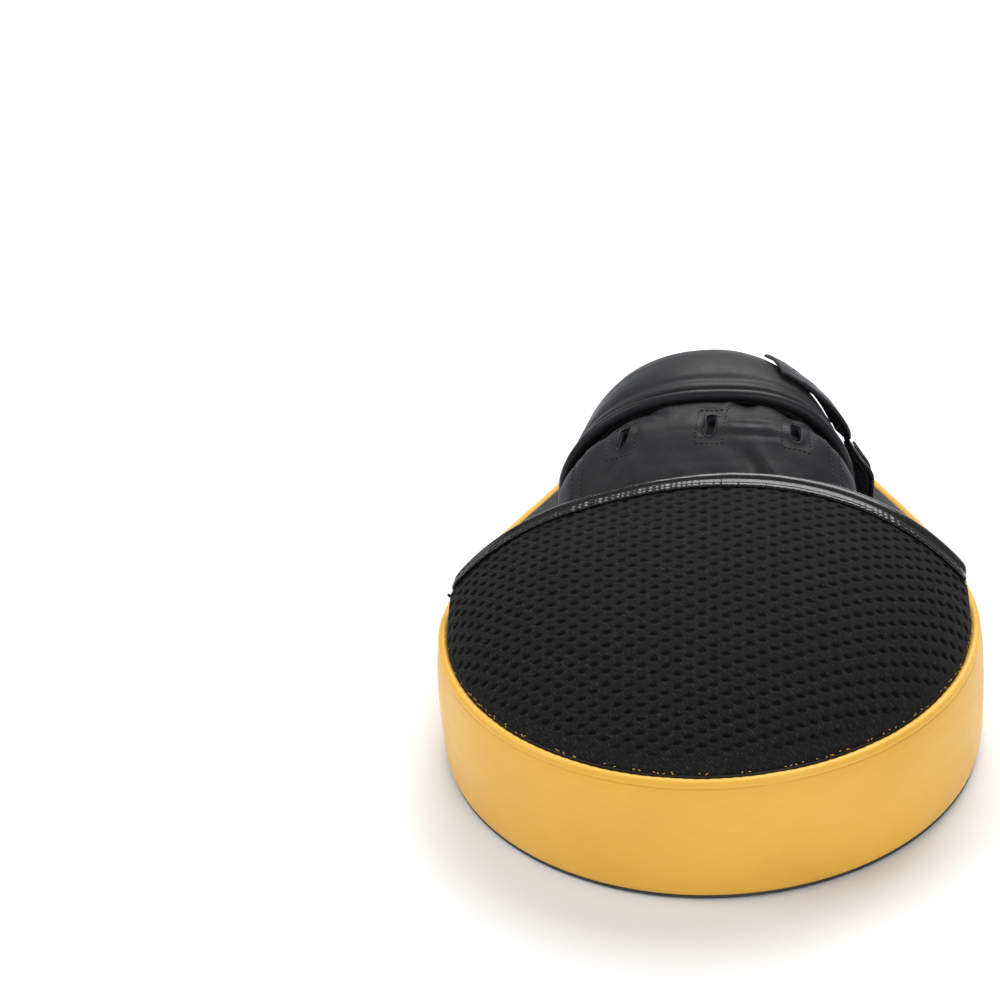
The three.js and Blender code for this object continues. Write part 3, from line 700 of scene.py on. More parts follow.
LEATHERS = {
    # dark, light, least and most roughness, grain, size of the cells, sheen
    "face": (*FACE_COLOURS, (0.45, 0.58), 0.55, 0.9),
    "back": ((0.016, 0.0166, 0.0175), (0.024, 0.0246, 0.026), (0.4, 0.55), 1.0, 1.4),
    "glove": ((0.010, 0.0106, 0.012), (0.015, 0.0156, 0.0175), (0.46, 0.62), 0.9, 1.2, 0.04),
    "strap": ((0.012, 0.0126, 0.014), (0.018, 0.0186, 0.0205), (0.42, 0.56), 0.75, 1.0, 0.04),
    "binding": ((0.011, 0.0115, 0.013), (0.017, 0.0176, 0.0195), (0.32, 0.46), 0.7, 1.0),
}
THREADS = {"black": (0.012, 0.012, 0.013), "grey": (0.022, 0.023, 0.025), "yellow": (0.75, 0.42, 0.06)}


def make_materials():
    mats = {
        "target": target_face(),
        "yellow": yellow_leather(),
        "mesh": spacer_mesh(),
        "patent": patent_vinyl(),
        "lining": woven("lining_textile", (0.006, 0.006, 0.007), (0.022, 0.023, 0.026), 1.1),
        "inner": woven("inner_tricot", (0.010, 0.011, 0.013), (0.03, 0.032, 0.038), 0.8),
        "loop": pile("loop_textile", (0.010, 0.010, 0.011), (0.035, 0.036, 0.038), 900, 0.5),
        "hook": pile("hook_textile", (0.008, 0.008, 0.009), (0.03, 0.031, 0.033), 1400, 0.4),
        "foam": foam("grey_foam", (0.20, 0.205, 0.21), (0.32, 0.325, 0.33)),
        "board": board(),
    }
    for name, values in LEATHERS.items():
        mats[name] = leather(name + "_leather", *values)
    for name, colour in THREADS.items():
        mats["thread_" + name] = thread("thread_" + name, colour)
    return mats


def back_drop(y):
    """How much lower the pad's back is at y than it is over the fingers."""
    return TAPER_DROP * smooth(y, TAPER_START, TAPER_END)


def settle(obj, base, reach):
    """Lowers a piece with the pad's tapered back: fully up to base, then less and less over the reach."""
    flat = np.zeros(3 * len(obj.data.vertices))
    obj.data.vertices.foreach_get("co", flat)
    place = flat.reshape(-1, 3)
    z = place[:, 2] / MM
    share = np.clip((z - WALL_LOW) / (WALL_HIGH - WALL_LOW), 0, 1)
    if reach:
        share = share * (1 - smooth(z, base, base + reach))
    place[:, 2] -= back_drop(place[:, 1] / MM) * share * MM
    obj.data.vertices.foreach_set("co", place.ravel())
    obj.data.update()


def finish_piece(obj, material, body, slot, *nodes, reach=STAND_REACH):
    """Settles the piece on the pad, gives it its material and body, and hides the imported parts of its
    nodes. The slot is not used. With reach 0 all of it goes down with the pad's back."""
    if body == "mitt":
        settle(obj, BASE, reach)
    else:
        settle(obj, STRAP_FOOT, STRAP_REACH)
    obj.data.materials.clear()
    obj.data.materials.append(material)
    if body:
        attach(obj, body)
    if nodes:
        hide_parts(*nodes)
    return obj


# ---------------------------------------------------------------- cloth simulation
def inflate(obj, pressure, cap, pinned):
    """Puffs a closed cushion with Cloth, holding the pinned points, and keeps every move under cap."""
    group = obj.vertex_groups.new(name="pin")
    group.add([int(i) for i in np.nonzero(pinned)[0]], 1.0, "REPLACE")
    before = np.array([v.co for v in obj.data.vertices])
    cloth = obj.modifiers.new("puff", "CLOTH")
    cloth.settings.quality = 6
    cloth.settings.mass = 0.1
    cloth.settings.tension_stiffness = cloth.settings.compression_stiffness = 22
    cloth.settings.bending_stiffness = 0.6
    cloth.settings.use_pressure = True
    cloth.settings.uniform_pressure_force = pressure
    cloth.settings.vertex_group_mass = "pin"
    cloth.settings.effector_weights.gravity = 0
    cloth.point_cache.frame_start = 1
    cloth.point_cache.frame_end = PUFF_FRAMES
    scene = bpy.context.scene
    for number in range(1, PUFF_FRAMES + 1):
        scene.frame_set(number)
    depsgraph = bpy.context.evaluated_depsgraph_get()
    puffed = obj.evaluated_get(depsgraph).data
    after = np.array([v.co for v in puffed.vertices])
    move = after - before
    size = np.linalg.norm(move, axis=1, keepdims=True)
    move *= np.minimum(1, cap * MM / np.maximum(size, 1e-9))
    obj.modifiers.remove(cloth)
    obj.vertex_groups.clear()
    scene.frame_set(1)
    obj.data.vertices.foreach_set("co", (before + move).astype(np.float32).ravel())
    obj.data.update()


def apply_modifier(obj, name):
    bpy.context.view_layer.objects.active = obj
    with bpy.context.temp_override(object=obj, active_object=obj):
        bpy.ops.object.modifier_apply(modifier=name)


def subdivide(obj):
    modifier = obj.modifiers.new("fine", "SUBSURF")
    modifier.levels = 1
    modifier.render_levels = 1
    apply_modifier(obj, "fine")
    obj.data.polygons.foreach_set("use_smooth", [True] * len(obj.data.polygons))


def cut_slots(obj, cutters):
    for cutter in cutters:
        modifier = obj.modifiers.new("cut", "BOOLEAN")
        modifier.operation = "DIFFERENCE"
        modifier.solver = "EXACT"
        modifier.object = cutter
        apply_modifier(obj, "cut")


# ---------------------------------------------------------------- the pad
def wall_wobble(s, z):
    """Long soft swells of the gusset and patches of fine creases running round it."""
    swell = 0.35 * waves(s, z * 2.0, 11, 90)
    patch = smooth(waves(s, z * 0.5, 5, 120), 0.15, 0.8)
    creases = 0.07 * waves(s * 0.12, z, 8, 3.2) * patch
    return (swell + creases) * smooth(z, 6, 14) * (1 - smooth(z, 34, 41))


def build_gusset(mats):
    outside = np.linspace(GUSSET_FOOT, GUSSET_TOP, 80)
    z = np.concatenate([outside, np.linspace(GUSSET_TOP, GUSSET_FOOT, 12)])
    levels = [GUSSET_FOOT, 2.6, 4, 8, 16, 26, 33, 38, 41, GUSSET_TOP]
    inset = np.interp(z, levels, [1.3, 0.8, 0.5, 0.2, 0, 0, 0.25, 0.6, 1.0, 1.75])
    back = np.arange(len(z)) >= len(outside)
    inset = inset + np.where(back, GUSSET_THICK, 0.0)

    def only_outside(s, height):
        return np.where(back[None], 0.0, wall_wobble(s, height))

    band = ring_object("gusset_leather", inset, z, 900, only_outside)
    finish_piece(band, mats["yellow"], "mitt", "yellow_leather", "gusset_band")

    def rope(s, _z):
        return 0.10 * waves(s, 0, 3, 26) + 0.05 * np.sin(s * 2 * math.pi / 3.6)

    beads = [
        # name, inset, height and radius, node
        ("back_edge_piping", (3.2, 44.9, 1.7), "back_piping"),
        ("face_edge_binding", (4.4, 3.75, 1.35), "face_binding"),
    ]
    for name, section, node in beads:
        bead = ring_object(name, *round_section(*section), 1000, rope)
        finish_piece(bead, mats["yellow"], "mitt", "yellow_leather", node)


def build_face(mats):
    rings = [(r, 0, 0.95) for r in (0.1, 0.2, 0.3)]
    edge_in = (PATCH_R + 0.3) / INNER_R * INNER_SHARE
    rings += [(edge_in, 0, 0.95), (edge_in + 0.002, 0, 0.1), (edge_in + 0.006, 0, 0.0)]
    rings += [(r, 5.0, 0.0) for r in np.linspace(INNER_SHARE, 0.94, 20)]
    rings += [(1, 3.0, 0.0), (1, 2.1, 0.12), (1, 1.5, 0.45), (1, 1.2, 0.9), (1, 1.25, 1.3), (1, 1.6, 1.6)]
    rings += [(r, 5.0, 1.6) for r in np.linspace(0.94, 0.1, 8)]
    face = disc_object("strike_face_leather", rings)
    finish_piece(face, mats["face"], "mitt", "face_leather", "strike_face_cover")

    def circle(turn, r, height):
        return points(r * np.cos(turn), PATCH_Y + r * np.sin(turn), height)

    section = [(8, 0), (16, 0), (24, 0), (27.4, 0), (PATCH_SEAM_R, 0.1), (28.6, 0), (30, 0), (30.4, 0.12),
               (PATCH_R, 0.4), (30.3, 0.62), (29.5, 0.65), (20, 0.65), (8, 0.65)]
    turn = np.arange(96) * 2 * math.pi / 96
    patch = loft_object("target_patch_leather", np.stack([circle(turn, r, z) for r, z in section]))
    finish_piece(patch, mats["target"], "mitt", "target_leather", "target_patch")

    xy, out, _ = outline(700)
    seams = [
        # name, path, pitch, length
        ("patch_stitching", circle(np.linspace(0, 2 * math.pi, 200), PATCH_SEAM_R, 0.12), 3.5, 2.6),
        ("face_edge_stitching", points(*(xy - out * 5.6).T, 0.02), 4.0, 2.4),
    ]
    for name, path, pitch, length in seams:
        down = np.tile([0, 0, -1.0], (len(path), 1))
        seam = stitch_object(name, spots_along(path, down, pitch), length, 0.3, 0.06)
        finish_piece(seam, mats["thread_black"], "mitt", None)


def build_back(mats):
    xy, _, _ = outline(360)
    rings = [(r, 5.4, 45.3) for r in np.linspace(0.1, 0.95, 18)]
    rings += [(1, 5.6, 45.3), (1, 5.0, 45.7), (1, 4.9, 46.2), (1, 5.2, 46.65), (1, 6.0, 46.85)]
    for r in np.linspace(0.97, 0.1, 34):
        x = xy[:, 0] * r
        y = PATCH_Y + (xy[:, 1] - PATCH_Y) * r
        swell = 0.28 * waves(x, y, 21, 60) * smooth(1 - r, 0.0, 0.12)
        rings.append((r, 5.4, 46.8 + np.minimum(swell, 0.2)))
    back = disc_object("back_leather_cover", rings)
    finish_piece(back, mats["back"], "mitt", "back_leather", "back_cover")


def build_core(mats):
    for node in ("strike_foam", "core_foam", "comfort_foam", "backing_board"):
        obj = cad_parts[node]
        obj.data.materials.clear()
        obj.data.materials.append(mats["board" if node == "backing_board" else "foam"])


# ---------------------------------------------------------------- the finger hood
def mouth(across, sink):
    x = -(MOUTH_HALF - sink) * np.cos(math.pi * across)
    y = MOUTH_Y - MOUTH_SWEEP * (x / MOUTH_HALF) ** 2
    arch = np.clip(1 - np.abs(x / (MOUTH_HALF + 2 - sink)) ** 2.6, 0, 1) ** 0.75
    z = MOUTH_FOOT + (HOOD_TOP - MOUTH_FOOT - sink) * arch * (1 + LEAN * x / MOUTH_HALF)
    z = z - 1.8 * bump(x, -34, 26)
    return points(x, y, z)


def hood(across, along, sink=0.0):
    """The hood's outside, from the seam (along 0) to the mouth (along 1)."""
    end = math.asin((MOUTH_Y - MOUTH_SWEEP - HOOD_BACK - WIDE_Y) / HOOD_R)
    turn = math.pi - end + across * (math.pi + 2 * end)
    rim = mouth(across, sink)
    x = (HOOD_R - sink) * np.cos(turn)
    y = WIDE_Y + (HOOD_R - sink) * np.sin(turn)
    climb = 1 - (1 - along) ** 2.2
    px = x + (rim[..., 0] - x) * along
    py = y + (rim[..., 1] - HOOD_BACK - y) * along
    pz = BASE + (rim[..., 2] - BASE) * climb
    return points(px, py, pz)


def cloth_place(p):
    """Distances along the mesh cloth: across from the middle, and along from the mouth."""
    line = mouth(np.linspace(0, 1, 400), 0.0)
    s = np.r_[0, np.cumsum(np.linalg.norm(np.diff(line[:, [0, 2]], axis=0), axis=1))]
    s -= np.interp(0, line[:, 0], s)
    across = np.interp(p[..., 0], line[:, 0], s)
    centre = hood(np.full(400, 0.5), np.linspace(0, 1, 400))
    t = np.r_[0, np.cumsum(np.linalg.norm(np.diff(centre[:, 1:], axis=0), axis=1))]
    along = np.interp(p[..., 1], centre[:, 1], t)
    return across, -along


def hole_depth(across, along):
    column = np.round(across / HOLE_ACROSS)
    dx = across - column * HOLE_ACROSS
    row = along / HOLE_ALONG + column * HOLE_SHIFT
    dy = (row - np.round(row)) * HOLE_ALONG
    reach = (dx / HOLE_HALF_ACROSS) ** 2 + np.abs(dy / HOLE_HALF_ALONG)
    return 1 - smooth(reach, 0.3, 1.4)


def build_hood(mats):
    nu, nv = ((430, 190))
    us = 0.5 - 0.5 * np.cos(math.pi * samples(nu, 300, 1.4))
    us = 0.35 * us + 0.65 * samples(nu, 300, 1.4)
    vs = samples(nv, 125, 1.4) ** 1.25
    u, v = np.meshgrid(us, vs, indexing="ij")
    p = hood(u, v)
    sag = 0.5 * waves(p[..., 0], p[..., 1], 31, 70) * smooth(v, 0.0, 0.25) * (1 - smooth(v, 0.85, 1.0))
    p[..., 2] += sag
    across, along = cloth_place(p)
    fade = smooth(v, 0.02, 0.07) * (1 - smooth(v, 0.975, 0.995))
    top = -0.7 * hole_depth(across, along) * fade
    obj = sheet_object("hood_mesh_cloth", p, top, -MESH_THICK, 1.2, np.stack([across, along], -1), 3)
    mark = obj.data.attributes.new("open_mesh", "FLOAT", "POINT")
    values = np.zeros(len(obj.data.vertices), np.float32)
    values[: fade.size] = fade.ravel()
    mark.data.foreach_set("value", values)
    finish_piece(obj, mats["mesh"], "mitt", "hood_mesh", "finger_hood")

    u, v = sheet_grid((90, 280), (40, 120), 1)
    under = sheet_object("hood_lining_cloth", hood(u, v, MESH_THICK + 0.35), 0.0, -LINING_THICK, 0.5)
    finish_piece(under, mats["lining"], "mitt", "lining_textile", "hood_lining")


def mouth_frames(count):
    t = np.linspace(0.0, 1.0, count)
    p = mouth(t, 1.2)
    inward = unit(hood(t, np.full(count, 0.96), 1.2) - hood(t, np.full(count, 1.0), 1.2))
    along = unit(np.gradient(p, axis=0))
    up = unit(np.cross(along, inward))
    up = np.where(up[:, 2:] < 0, -up, up)
    inward = unit(inward - up * (inward * up).sum(1, keepdims=True))
    return t, p, inward, up


def build_hood_piping(mats):
    """A padded vinyl roll over the mouth's edge with a stitched flange lying on the mesh."""
    t, p, inward, up = mouth_frames(520)
    x = p[:, 0]
    roll = 1.85 + 0.3 * smooth(x, -70, -10) + 0.9 * smooth(x, -5, 60) + 0.35 * bump(x, 8, 12)
    roll = roll + 0.1 * waves(x, 0, 7, 24)
    section = []
    for angle in np.radians(np.linspace(32, 322, 22)):
        section.append(np.stack([roll * np.cos(angle), 0.35 + roll * np.sin(angle)], -1))
    crinkle = 0.08 * np.sin(x * 2 * math.pi / 1.9 + 2.5 * waves(x, 0, 9, 9))
    crinkle = crinkle + 0.1 * waves(x, 0, 12, 3.5)
    flange = [
        # inwards, up, share of the crinkles
        (3.3, -1.55, 0), (3.3, 1.32, 0), (7.2, 1.38, 0), (7.7, 1.6, 0.4), (7.3, 2.0, 1), (6.4, 2.25, 1),
        (5.6, 2.3, 1), (4.9, 1.95, 0.6), (4.3, 2.05, 0.6), (3.6, 2.35, 0.5),
    ]
    for f, n, share in flange:
        stretch = np.where(f > 3.4, 0.85 + 0.1 * (roll - 2.1), 1.0)
        wander = 0.25 * share * waves(x, 0, 14, 6)
        section.append(np.stack([f * stretch + wander, n + share * crinkle], -1))
    s = np.stack(section, 1) * (0.3 + 0.7 * smooth(np.minimum(t, 1 - t), 0.0, 0.07))[:, None, None]
    verts = p[:, None] + inward[:, None] * s[..., :1] + up[:, None] * s[..., 1:]
    foot = smooth(np.minimum(t, 1 - t), 0.0, 0.02)
    verts[..., 2] = np.maximum(verts[..., 2], BASE + 0.05)
    verts[..., 2] -= (1 - foot)[:, None] * 0.6
    verts[..., 2] = np.maximum(verts[..., 2], BASE - 0.1)
    obj = loft_object("hood_edge_roll", verts)
    finish_piece(obj, mats["patent"], "mitt", "patent_vinyl", "hood_piping")

    path = p + inward * 6.6 + up * 2.15
    keep = slice(40, -40)
    seam = stitch_object("hood_edge_stitching", spots_along(path[keep], up[keep], 2.3), 2.1, 0.16, 0.05)
    finish_piece(seam, mats["thread_grey"], "mitt", None)


def build_seam_threads(mats):
    """Loose ends of yellow thread where the mesh goes under the pad's piping."""
    rng = np.random.default_rng(41)
    spots = []
    for _ in range(100):
        t = rng.uniform(0.02, 0.98)
        a = hood(np.array([t]), np.array([0.004]))[0]
        b = hood(np.array([t + 0.004]), np.array([0.004]))[0]
        seam = unit(b - a)
        out = unit(np.array([a[0], a[1] - WIDE_Y, 0]))
        point = a + out * rng.uniform(-0.2, 0.7) + np.array([0, 0, rng.uniform(-0.1, 0.35)])
        spots.append((point, seam + out * rng.uniform(-0.9, 0.9), unit(out * 0.7 + np.array([0, 0, 1.0]))))
    obj = stitch_object("seam_thread_ends", spots, 0.75, 0.12, 0.05)
    finish_piece(obj, mats["thread_yellow"], "mitt", None)


# ---------------------------------------------------------------- the glove
GLOVE = np.array([
    # y, half width, height above the pad's back, squareness
    [24, 44.5, 39.5, 2.9],
    [21.5, 47, 43.4, 2.75],
    [18.5, 49.8, 45.1, 2.7],
    [13, 53, 44.2, 2.9],
    [5, 56.5, 43.0, 3.3],
    [-8, 56, 35.5, 3.4],
    [-20, 54, 28.5, 3.4],
    [-32, 53, 27.2, 3.4],
])
SHELL = np.array([
    [47, 41, 39.0, 3.4],
    [38, 41.5, 39.0, 3.4],
    [30, 42.5, 38.5, 3.3],
    [24, 44, 39.0, 3.0],
    [20, 47, 40.2, 2.6],
    [13, 51.4, 42.4, 2.9],
    [5, 54.9, 41.3, 3.3],
    [-8, 54.4, 33.6, 3.4],
    [-20, 52.6, 26.8, 3.4],
    [-60, 49, 24.5, 3.4],
    [-95, 43, 16.5, 3.4],
    [-112, 35, 4.6, 3.4],
])


def shell_grid(count_u, count_v, edge, reach=1.0):
    """The shell's grid. Its cuff, under the strap, does not come down to the pad."""
    u, v = sheet_grid((count_u, 150), (count_v, 190), edge)
    margin = np.radians(30) * (1 - smooth(v, 0.0, 0.3))
    p = hand(SHELL, math.pi - margin - u * (math.pi - 2 * margin), v * reach)
    folds = 0.5 * waves(p[..., 0], p[..., 1], 61, 40) * smooth(-p[..., 1], 25, 50)
    return p, gathers(p[..., 0], p[..., 1]) - 0.4 + folds


def hand(stations, angle, along):
    y = catmull(stations[:, 0], along)
    half = catmull(stations[:, 1], along)
    height = catmull(stations[:, 2], along)
    power = catmull(stations[:, 3], along)
    side = np.cos(angle)
    x = half * np.sign(side) * np.abs(side) ** (2 / power)
    z = BASE + np.maximum(0.6, height) * np.sin(angle) * (1 + LEAN * side)
    return points(x, y, z)


def on_panel(x, y):
    """The point of the panel's plain outside over (x, y)."""
    grid = np.linspace(0, 1, 400)
    along = np.interp(-np.asarray(y, float), -catmull(GLOVE[:, 0], grid), grid)
    half = catmull(GLOVE[:, 1], along)
    power = catmull(GLOVE[:, 3], along)
    side = np.sign(x) * np.abs(np.asarray(x, float) / half) ** (power / 2)
    return hand(GLOVE, np.arccos(np.clip(side, -0.999, 0.999)), along)


def panel_normal(x, y):
    across = on_panel(x + NEAR, y) - on_panel(x - NEAR, y)
    along = on_panel(x, y + NEAR) - on_panel(x, y - NEAR)
    return unit(np.cross(across, along))


def gathers(x, y):
    """The panel's top edge is gathered under the strap: soft humps with notches between them."""
    hump = np.maximum.reduce([
        smooth(x, -22, -12) * (1 - smooth(x, 9, 15)),
        smooth(x, 15, 20) * (1 - smooth(x, 23, 30)),
        0.75 * smooth(x, 30, 35) * (1 - smooth(x, 37, 43)),
        0.35 * smooth(x, -44, -34) * (1 - smooth(x, -30, -23)),
    ])
    return -1.3 * (1 - hump) * smooth(y, 9, 19)


def crease(x, y, x0, y0, x1, y1, width, depth):
    d = np.array([x1 - x0, y1 - y0], float)
    length = np.linalg.norm(d)
    d /= length
    s = (x - x0) * d[0] + (y - y0) * d[1]
    side = -(x - x0) * d[1] + (y - y0) * d[0]
    ends = smooth(s, -0.15 * length, 0.3 * length) * (1 - smooth(s, 0.7 * length, 1.15 * length))
    return depth * (0.45 * bump(side, 1.9 * width, width) - bump(side, 0, width)) * ends


CREASES = [
    # x and y of both ends, width, depth
    (15, -4, 24, -17, 1.7, 1.0),
    (19, -8, 21, -19, 1.3, 0.8),
    (6, 2.5, 30, 1.5, 1.3, 0.45),
    (8, 6.5, 27, 6.0, 1.0, 0.3),
    (-26, 0, -40, -12, 1.6, 0.45),
    (-14, 14, -22, 20, 1.6, 0.7),
    (8, 13, 12, 19, 1.4, 0.6),
    (33, 12, 40, 16, 1.2, 0.6),
]


def panel_relief(x, y):
    relief = gathers(x, y) + 0.40 * waves(x, y * 1.3, 51, 34) + 0.10 * waves(x, y, 52, 8)
    for line in CREASES:
        relief = relief + crease(x, y, *line)
    for cx, cy, _ in SLOTS_AT:
        relief = relief - 0.5 * bump(np.hypot((x - cx) / 5.5, (y - cy) / 7.0), 0.95, 0.28)
    return relief


# vent slots: x, y, lean of the top towards +X for each millimetre along y
SLOTS_AT = [(-29.0, 5.5, 0.22), (2.0, 7.0, 0.12), (32.0, 6.0, 0.0)]
SLOT_HALF = 1.9
SLOT_REACH = 5.2
# the stitched frame round each slot
FRAME_HALF = 4.9
FRAME_REACH = 7.6
SLOT_POINTS = 48


def slot_outline(cx, cy, lean, grow=0.0, count=40):
    turn = np.arange(count) * 2 * math.pi / count
    x = (SLOT_HALF + grow) * np.cos(turn)
    y = (SLOT_HALF + grow) * np.sin(turn) + np.where(np.sin(turn) >= 0, 1, -1) * (SLOT_REACH - SLOT_HALF)
    return cx + x + lean * y, cy + y


def slot_cutters():
    cutters = []
    for cx, cy, lean in SLOTS_AT:
        x, y = slot_outline(cx, cy, lean)
        cutters.append(loft_object("cutter", np.stack([points(x, y, 60.0), points(x, y, 110.0)])))
    return cutters


def build_glove(mats):
    cutters = slot_cutters()
    u, v = sheet_grid((170, 130), (110, 55), 1.0)
    margin = np.radians(21 + 13 * (1 - v))
    p = hand(GLOVE, math.pi - margin - u * (math.pi - 2 * margin), v * 0.93)
    relief = panel_relief(p[..., 0], p[..., 1])
    panel = sheet_object("knuckle_panel", p, relief, relief - 1.3, 0.7)
    cut_slots(panel, cutters)
    finish_piece(panel, mats["glove"], "mitt", "glove_leather", "vent_panel")

    p, top = shell_grid(120, 120, 1.2)
    shell = sheet_object("glove_leather_shell", p, top, top - 1.6, 0.9)
    cut_slots(shell, cutters)
    finish_piece(shell, mats["glove"], "mitt", "glove_leather", "glove_shell")
    for cutter in cutters:
        bpy.data.objects.remove(cutter)

    p, top = shell_grid(90, 80, 0.6, 0.87)
    lining = sheet_object("glove_lining_cloth", p, top - 2.0, top - 2.0 - LINING_THICK, 0.5)
    finish_piece(lining, mats["lining"], "mitt", "lining_textile", "glove_lining")


def panel_path(points):
    """A path on the panel's outside through (x, y) corners, and its normals."""
    dense = []
    for (x0, y0), (x1, y1) in zip(points[:-1], points[1:]):
        count = max(2, int(math.hypot(x1 - x0, y1 - y0) / 0.8))
        t = np.linspace(0, 1, count, endpoint=False)
        dense.append(np.c_[x0 + (x1 - x0) * t, y0 + (y1 - y0) * t])
    dense.append(np.array([points[-1]], float))
    xy = np.concatenate(dense)
    x, y = xy[:, 0], xy[:, 1]
    normal = panel_normal(x, y)
    return on_panel(x, y) + normal * panel_relief(x, y)[:, None], normal


def build_glove_trim(mats):
    spots = []
    for cx, cy, lean in SLOTS_AT:
        corners = [(cx + x * FRAME_HALF + lean * y * FRAME_REACH, cy + y * FRAME_REACH)
                   for x, y in ((-1, -1), (1, -1), (1, 1), (-1, 1), (-1, -1))]
        path, normal = panel_path(corners)
        spots += spots_along(path, normal, 1.75)
    for offset in (0.0, 3.6):
        for side in (-1, 1):
            y = np.linspace(17, -21, 24)
            limit = np.interp(y, [-21, 5, 17], [49.2, 47.5, 43.0]) - offset
            path, normal = panel_path([(side * a, b) for a, b in zip(limit, y)])
            spots += spots_along(path, normal, 1.9)
    path, normal = panel_path([(x, -19.5 - 0.0009 * x * x) for x in np.linspace(-45, 45, 60)])
    spots += spots_along(path, normal, 2.2)
    seam = stitch_object("panel_stitching", spots, 1.35, 0.25, 0.05)
    finish_piece(seam, mats["thread_black"], "mitt", None)

    for k, (cx, cy, lean) in enumerate(SLOTS_AT):
        x, y = slot_outline(cx, cy, lean, 0.1, SLOT_POINTS)
        normal = panel_normal(x, y)
        rim = on_panel(x, y) + normal * (panel_relief(x, y) - 0.25)[:, None]
        lip = tube_object("slot_lip_%d" % (k + 1), rim, 0.42, 8, True)
        finish_piece(lip, mats["binding"], "mitt", None)
        x, y = slot_outline(cx, cy, lean, -0.2, SLOT_POINTS)
        top = on_panel(x, y) + normal * (panel_relief(x, y) - 0.9)[:, None]
        low = top - np.array([0, 0.3, 1.0]) * 3.4
        x, y = slot_outline(cx, cy, lean, 0.35, SLOT_POINTS)
        wall = np.stack([top, low, points(x, y, low[:, 2]), points(x, y, top[:, 2])], 1)
        index = np.arange(SLOT_POINTS * 4).reshape(SLOT_POINTS, 4)
        liner = make_object("slot_liner_%d" % (k + 1), wall.reshape(-1, 3), grid_faces(index, True, True))
        finish_piece(liner, mats["inner"], "mitt", None)


# ---------------------------------------------------------------- thumb stall and cushions
def build_thumb(mats):
    u, v = sheet_grid((46, 44), (60, 58), 0.8)
    taper = np.sqrt(np.clip(1 - v**3, 0.02, 1))
    angle = math.pi * (1 - u)
    x = THUMB_X - 2 * v + 9.4 * taper * np.cos(angle)
    z = BASE + 14 * taper * np.sin(angle)
    p = points(x, -36 - 58 * v, z)
    soft = 0.25 * waves(x, p[..., 1], 71, 16)
    stall = sheet_object("thumb_leather_stall", p, soft, soft - 1.7, 0.8)
    finish_piece(stall, mats["glove"], "mitt", "glove_leather", "thumb_stall")
    t = np.linspace(0, math.pi, 40)
    rim = points(THUMB_X + 8.5 * np.cos(t), -34.3, BASE + 1.5 + 11.8 * np.sin(t))
    edge = tube_object("thumb_edge_binding", rim, 1.4, 12)
    finish_piece(edge, mats["binding"], "mitt", "binding_leather", "thumb_binding")


def cushion(name, plan, height, base):
    """A low crowned cushion: plan(angle) gives its edge, and it swells to the height in the middle."""
    turn = np.arange(CUSHION_POINTS) * 2 * math.pi / CUSHION_POINTS
    px, py, cx, cy = plan(turn)
    steps = np.linspace(0.12, 1, CUSHION_RINGS)
    crown = steps[:-1] * math.pi / 2
    reach = np.r_[steps, np.cos(crown) ** 0.55]
    rise = np.r_[0 * steps, height * np.sin(crown) ** 0.9]
    loops = [points(cx + (px - cx) * r, cy + (py - cy) * r, base + z) for r, z in zip(reach, rise)]
    obj = loft_object(name, np.stack(loops))
    pinned = np.array([v.co.z < (base + 0.4) * MM for v in obj.data.vertices])
    return obj, pinned


def build_cushions(mats):
    def palm(turn):
        return 38.5 * np.cos(turn), PALM_Y + 30.5 * np.sin(turn), 0.0, PALM_Y

    obj, pinned = cushion("palm_cushion", palm, 9.4, BASE)
    inflate(obj, 4.0, 1.6, pinned)
    finish_piece(obj, mats["glove"], "mitt", "glove_leather", "palm_cover", "palm_mound", reach=0)

    def wrist(turn):
        c, s = np.cos(turn), np.sin(turn)
        y = WRIST_Y + 8.8 * np.sign(s) * np.abs(s) ** 0.8
        return 30 * np.clip(c * 3, -1, 1) + 9 * c, y, 0.0, WRIST_Y

    obj, pinned = cushion("wrist_cushion", wrist, 7.4, BASE)
    inflate(obj, 4.0, 1.4, pinned)
    finish_piece(obj, mats["glove"], "mitt", "glove_leather", "wrist_pad", reach=0)


# ---------------------------------------------------------------- the wrist strap
def strap(angle, y, lift=0.0):
    back = (y - STRAP_FRONT) / (STRAP_BACK - STRAP_FRONT)
    crown = 2.4 * np.sin(math.pi * back) - 5 * back**4 * np.sign(back)
    side = np.cos(angle)
    free = smooth(side, -0.15, 0.35)
    power = 2.25 + (2.6 - 0.75 * back - 2.25) * free
    half = np.where(side > 0, STRAP_HALF_FREE, STRAP_HALF_SEWN) - 10 * back + lift
    height = STRAP_TOP - STRAP_FOOT + crown + lift
    x = half * np.sign(side) * np.abs(side) ** (2 / power)
    return points(x, y, STRAP_FOOT + height * np.sin(angle) * (1 + LEAN * side))


def strap_relief(u, y):
    """A shallow channel behind the front bead, soft swells and a few creases along the strap."""
    front = -0.9 * bump(y, STRAP_FRONT + 5.5, 1.5) - 0.5 * bump(y, STRAP_BACK - 4.5, 1.5)
    long_folds = 0.28 * waves(u * 30, y * 2.2, 81, 26) + 0.08 * waves(u * 60, y * 3, 82, 12)
    return front + long_folds


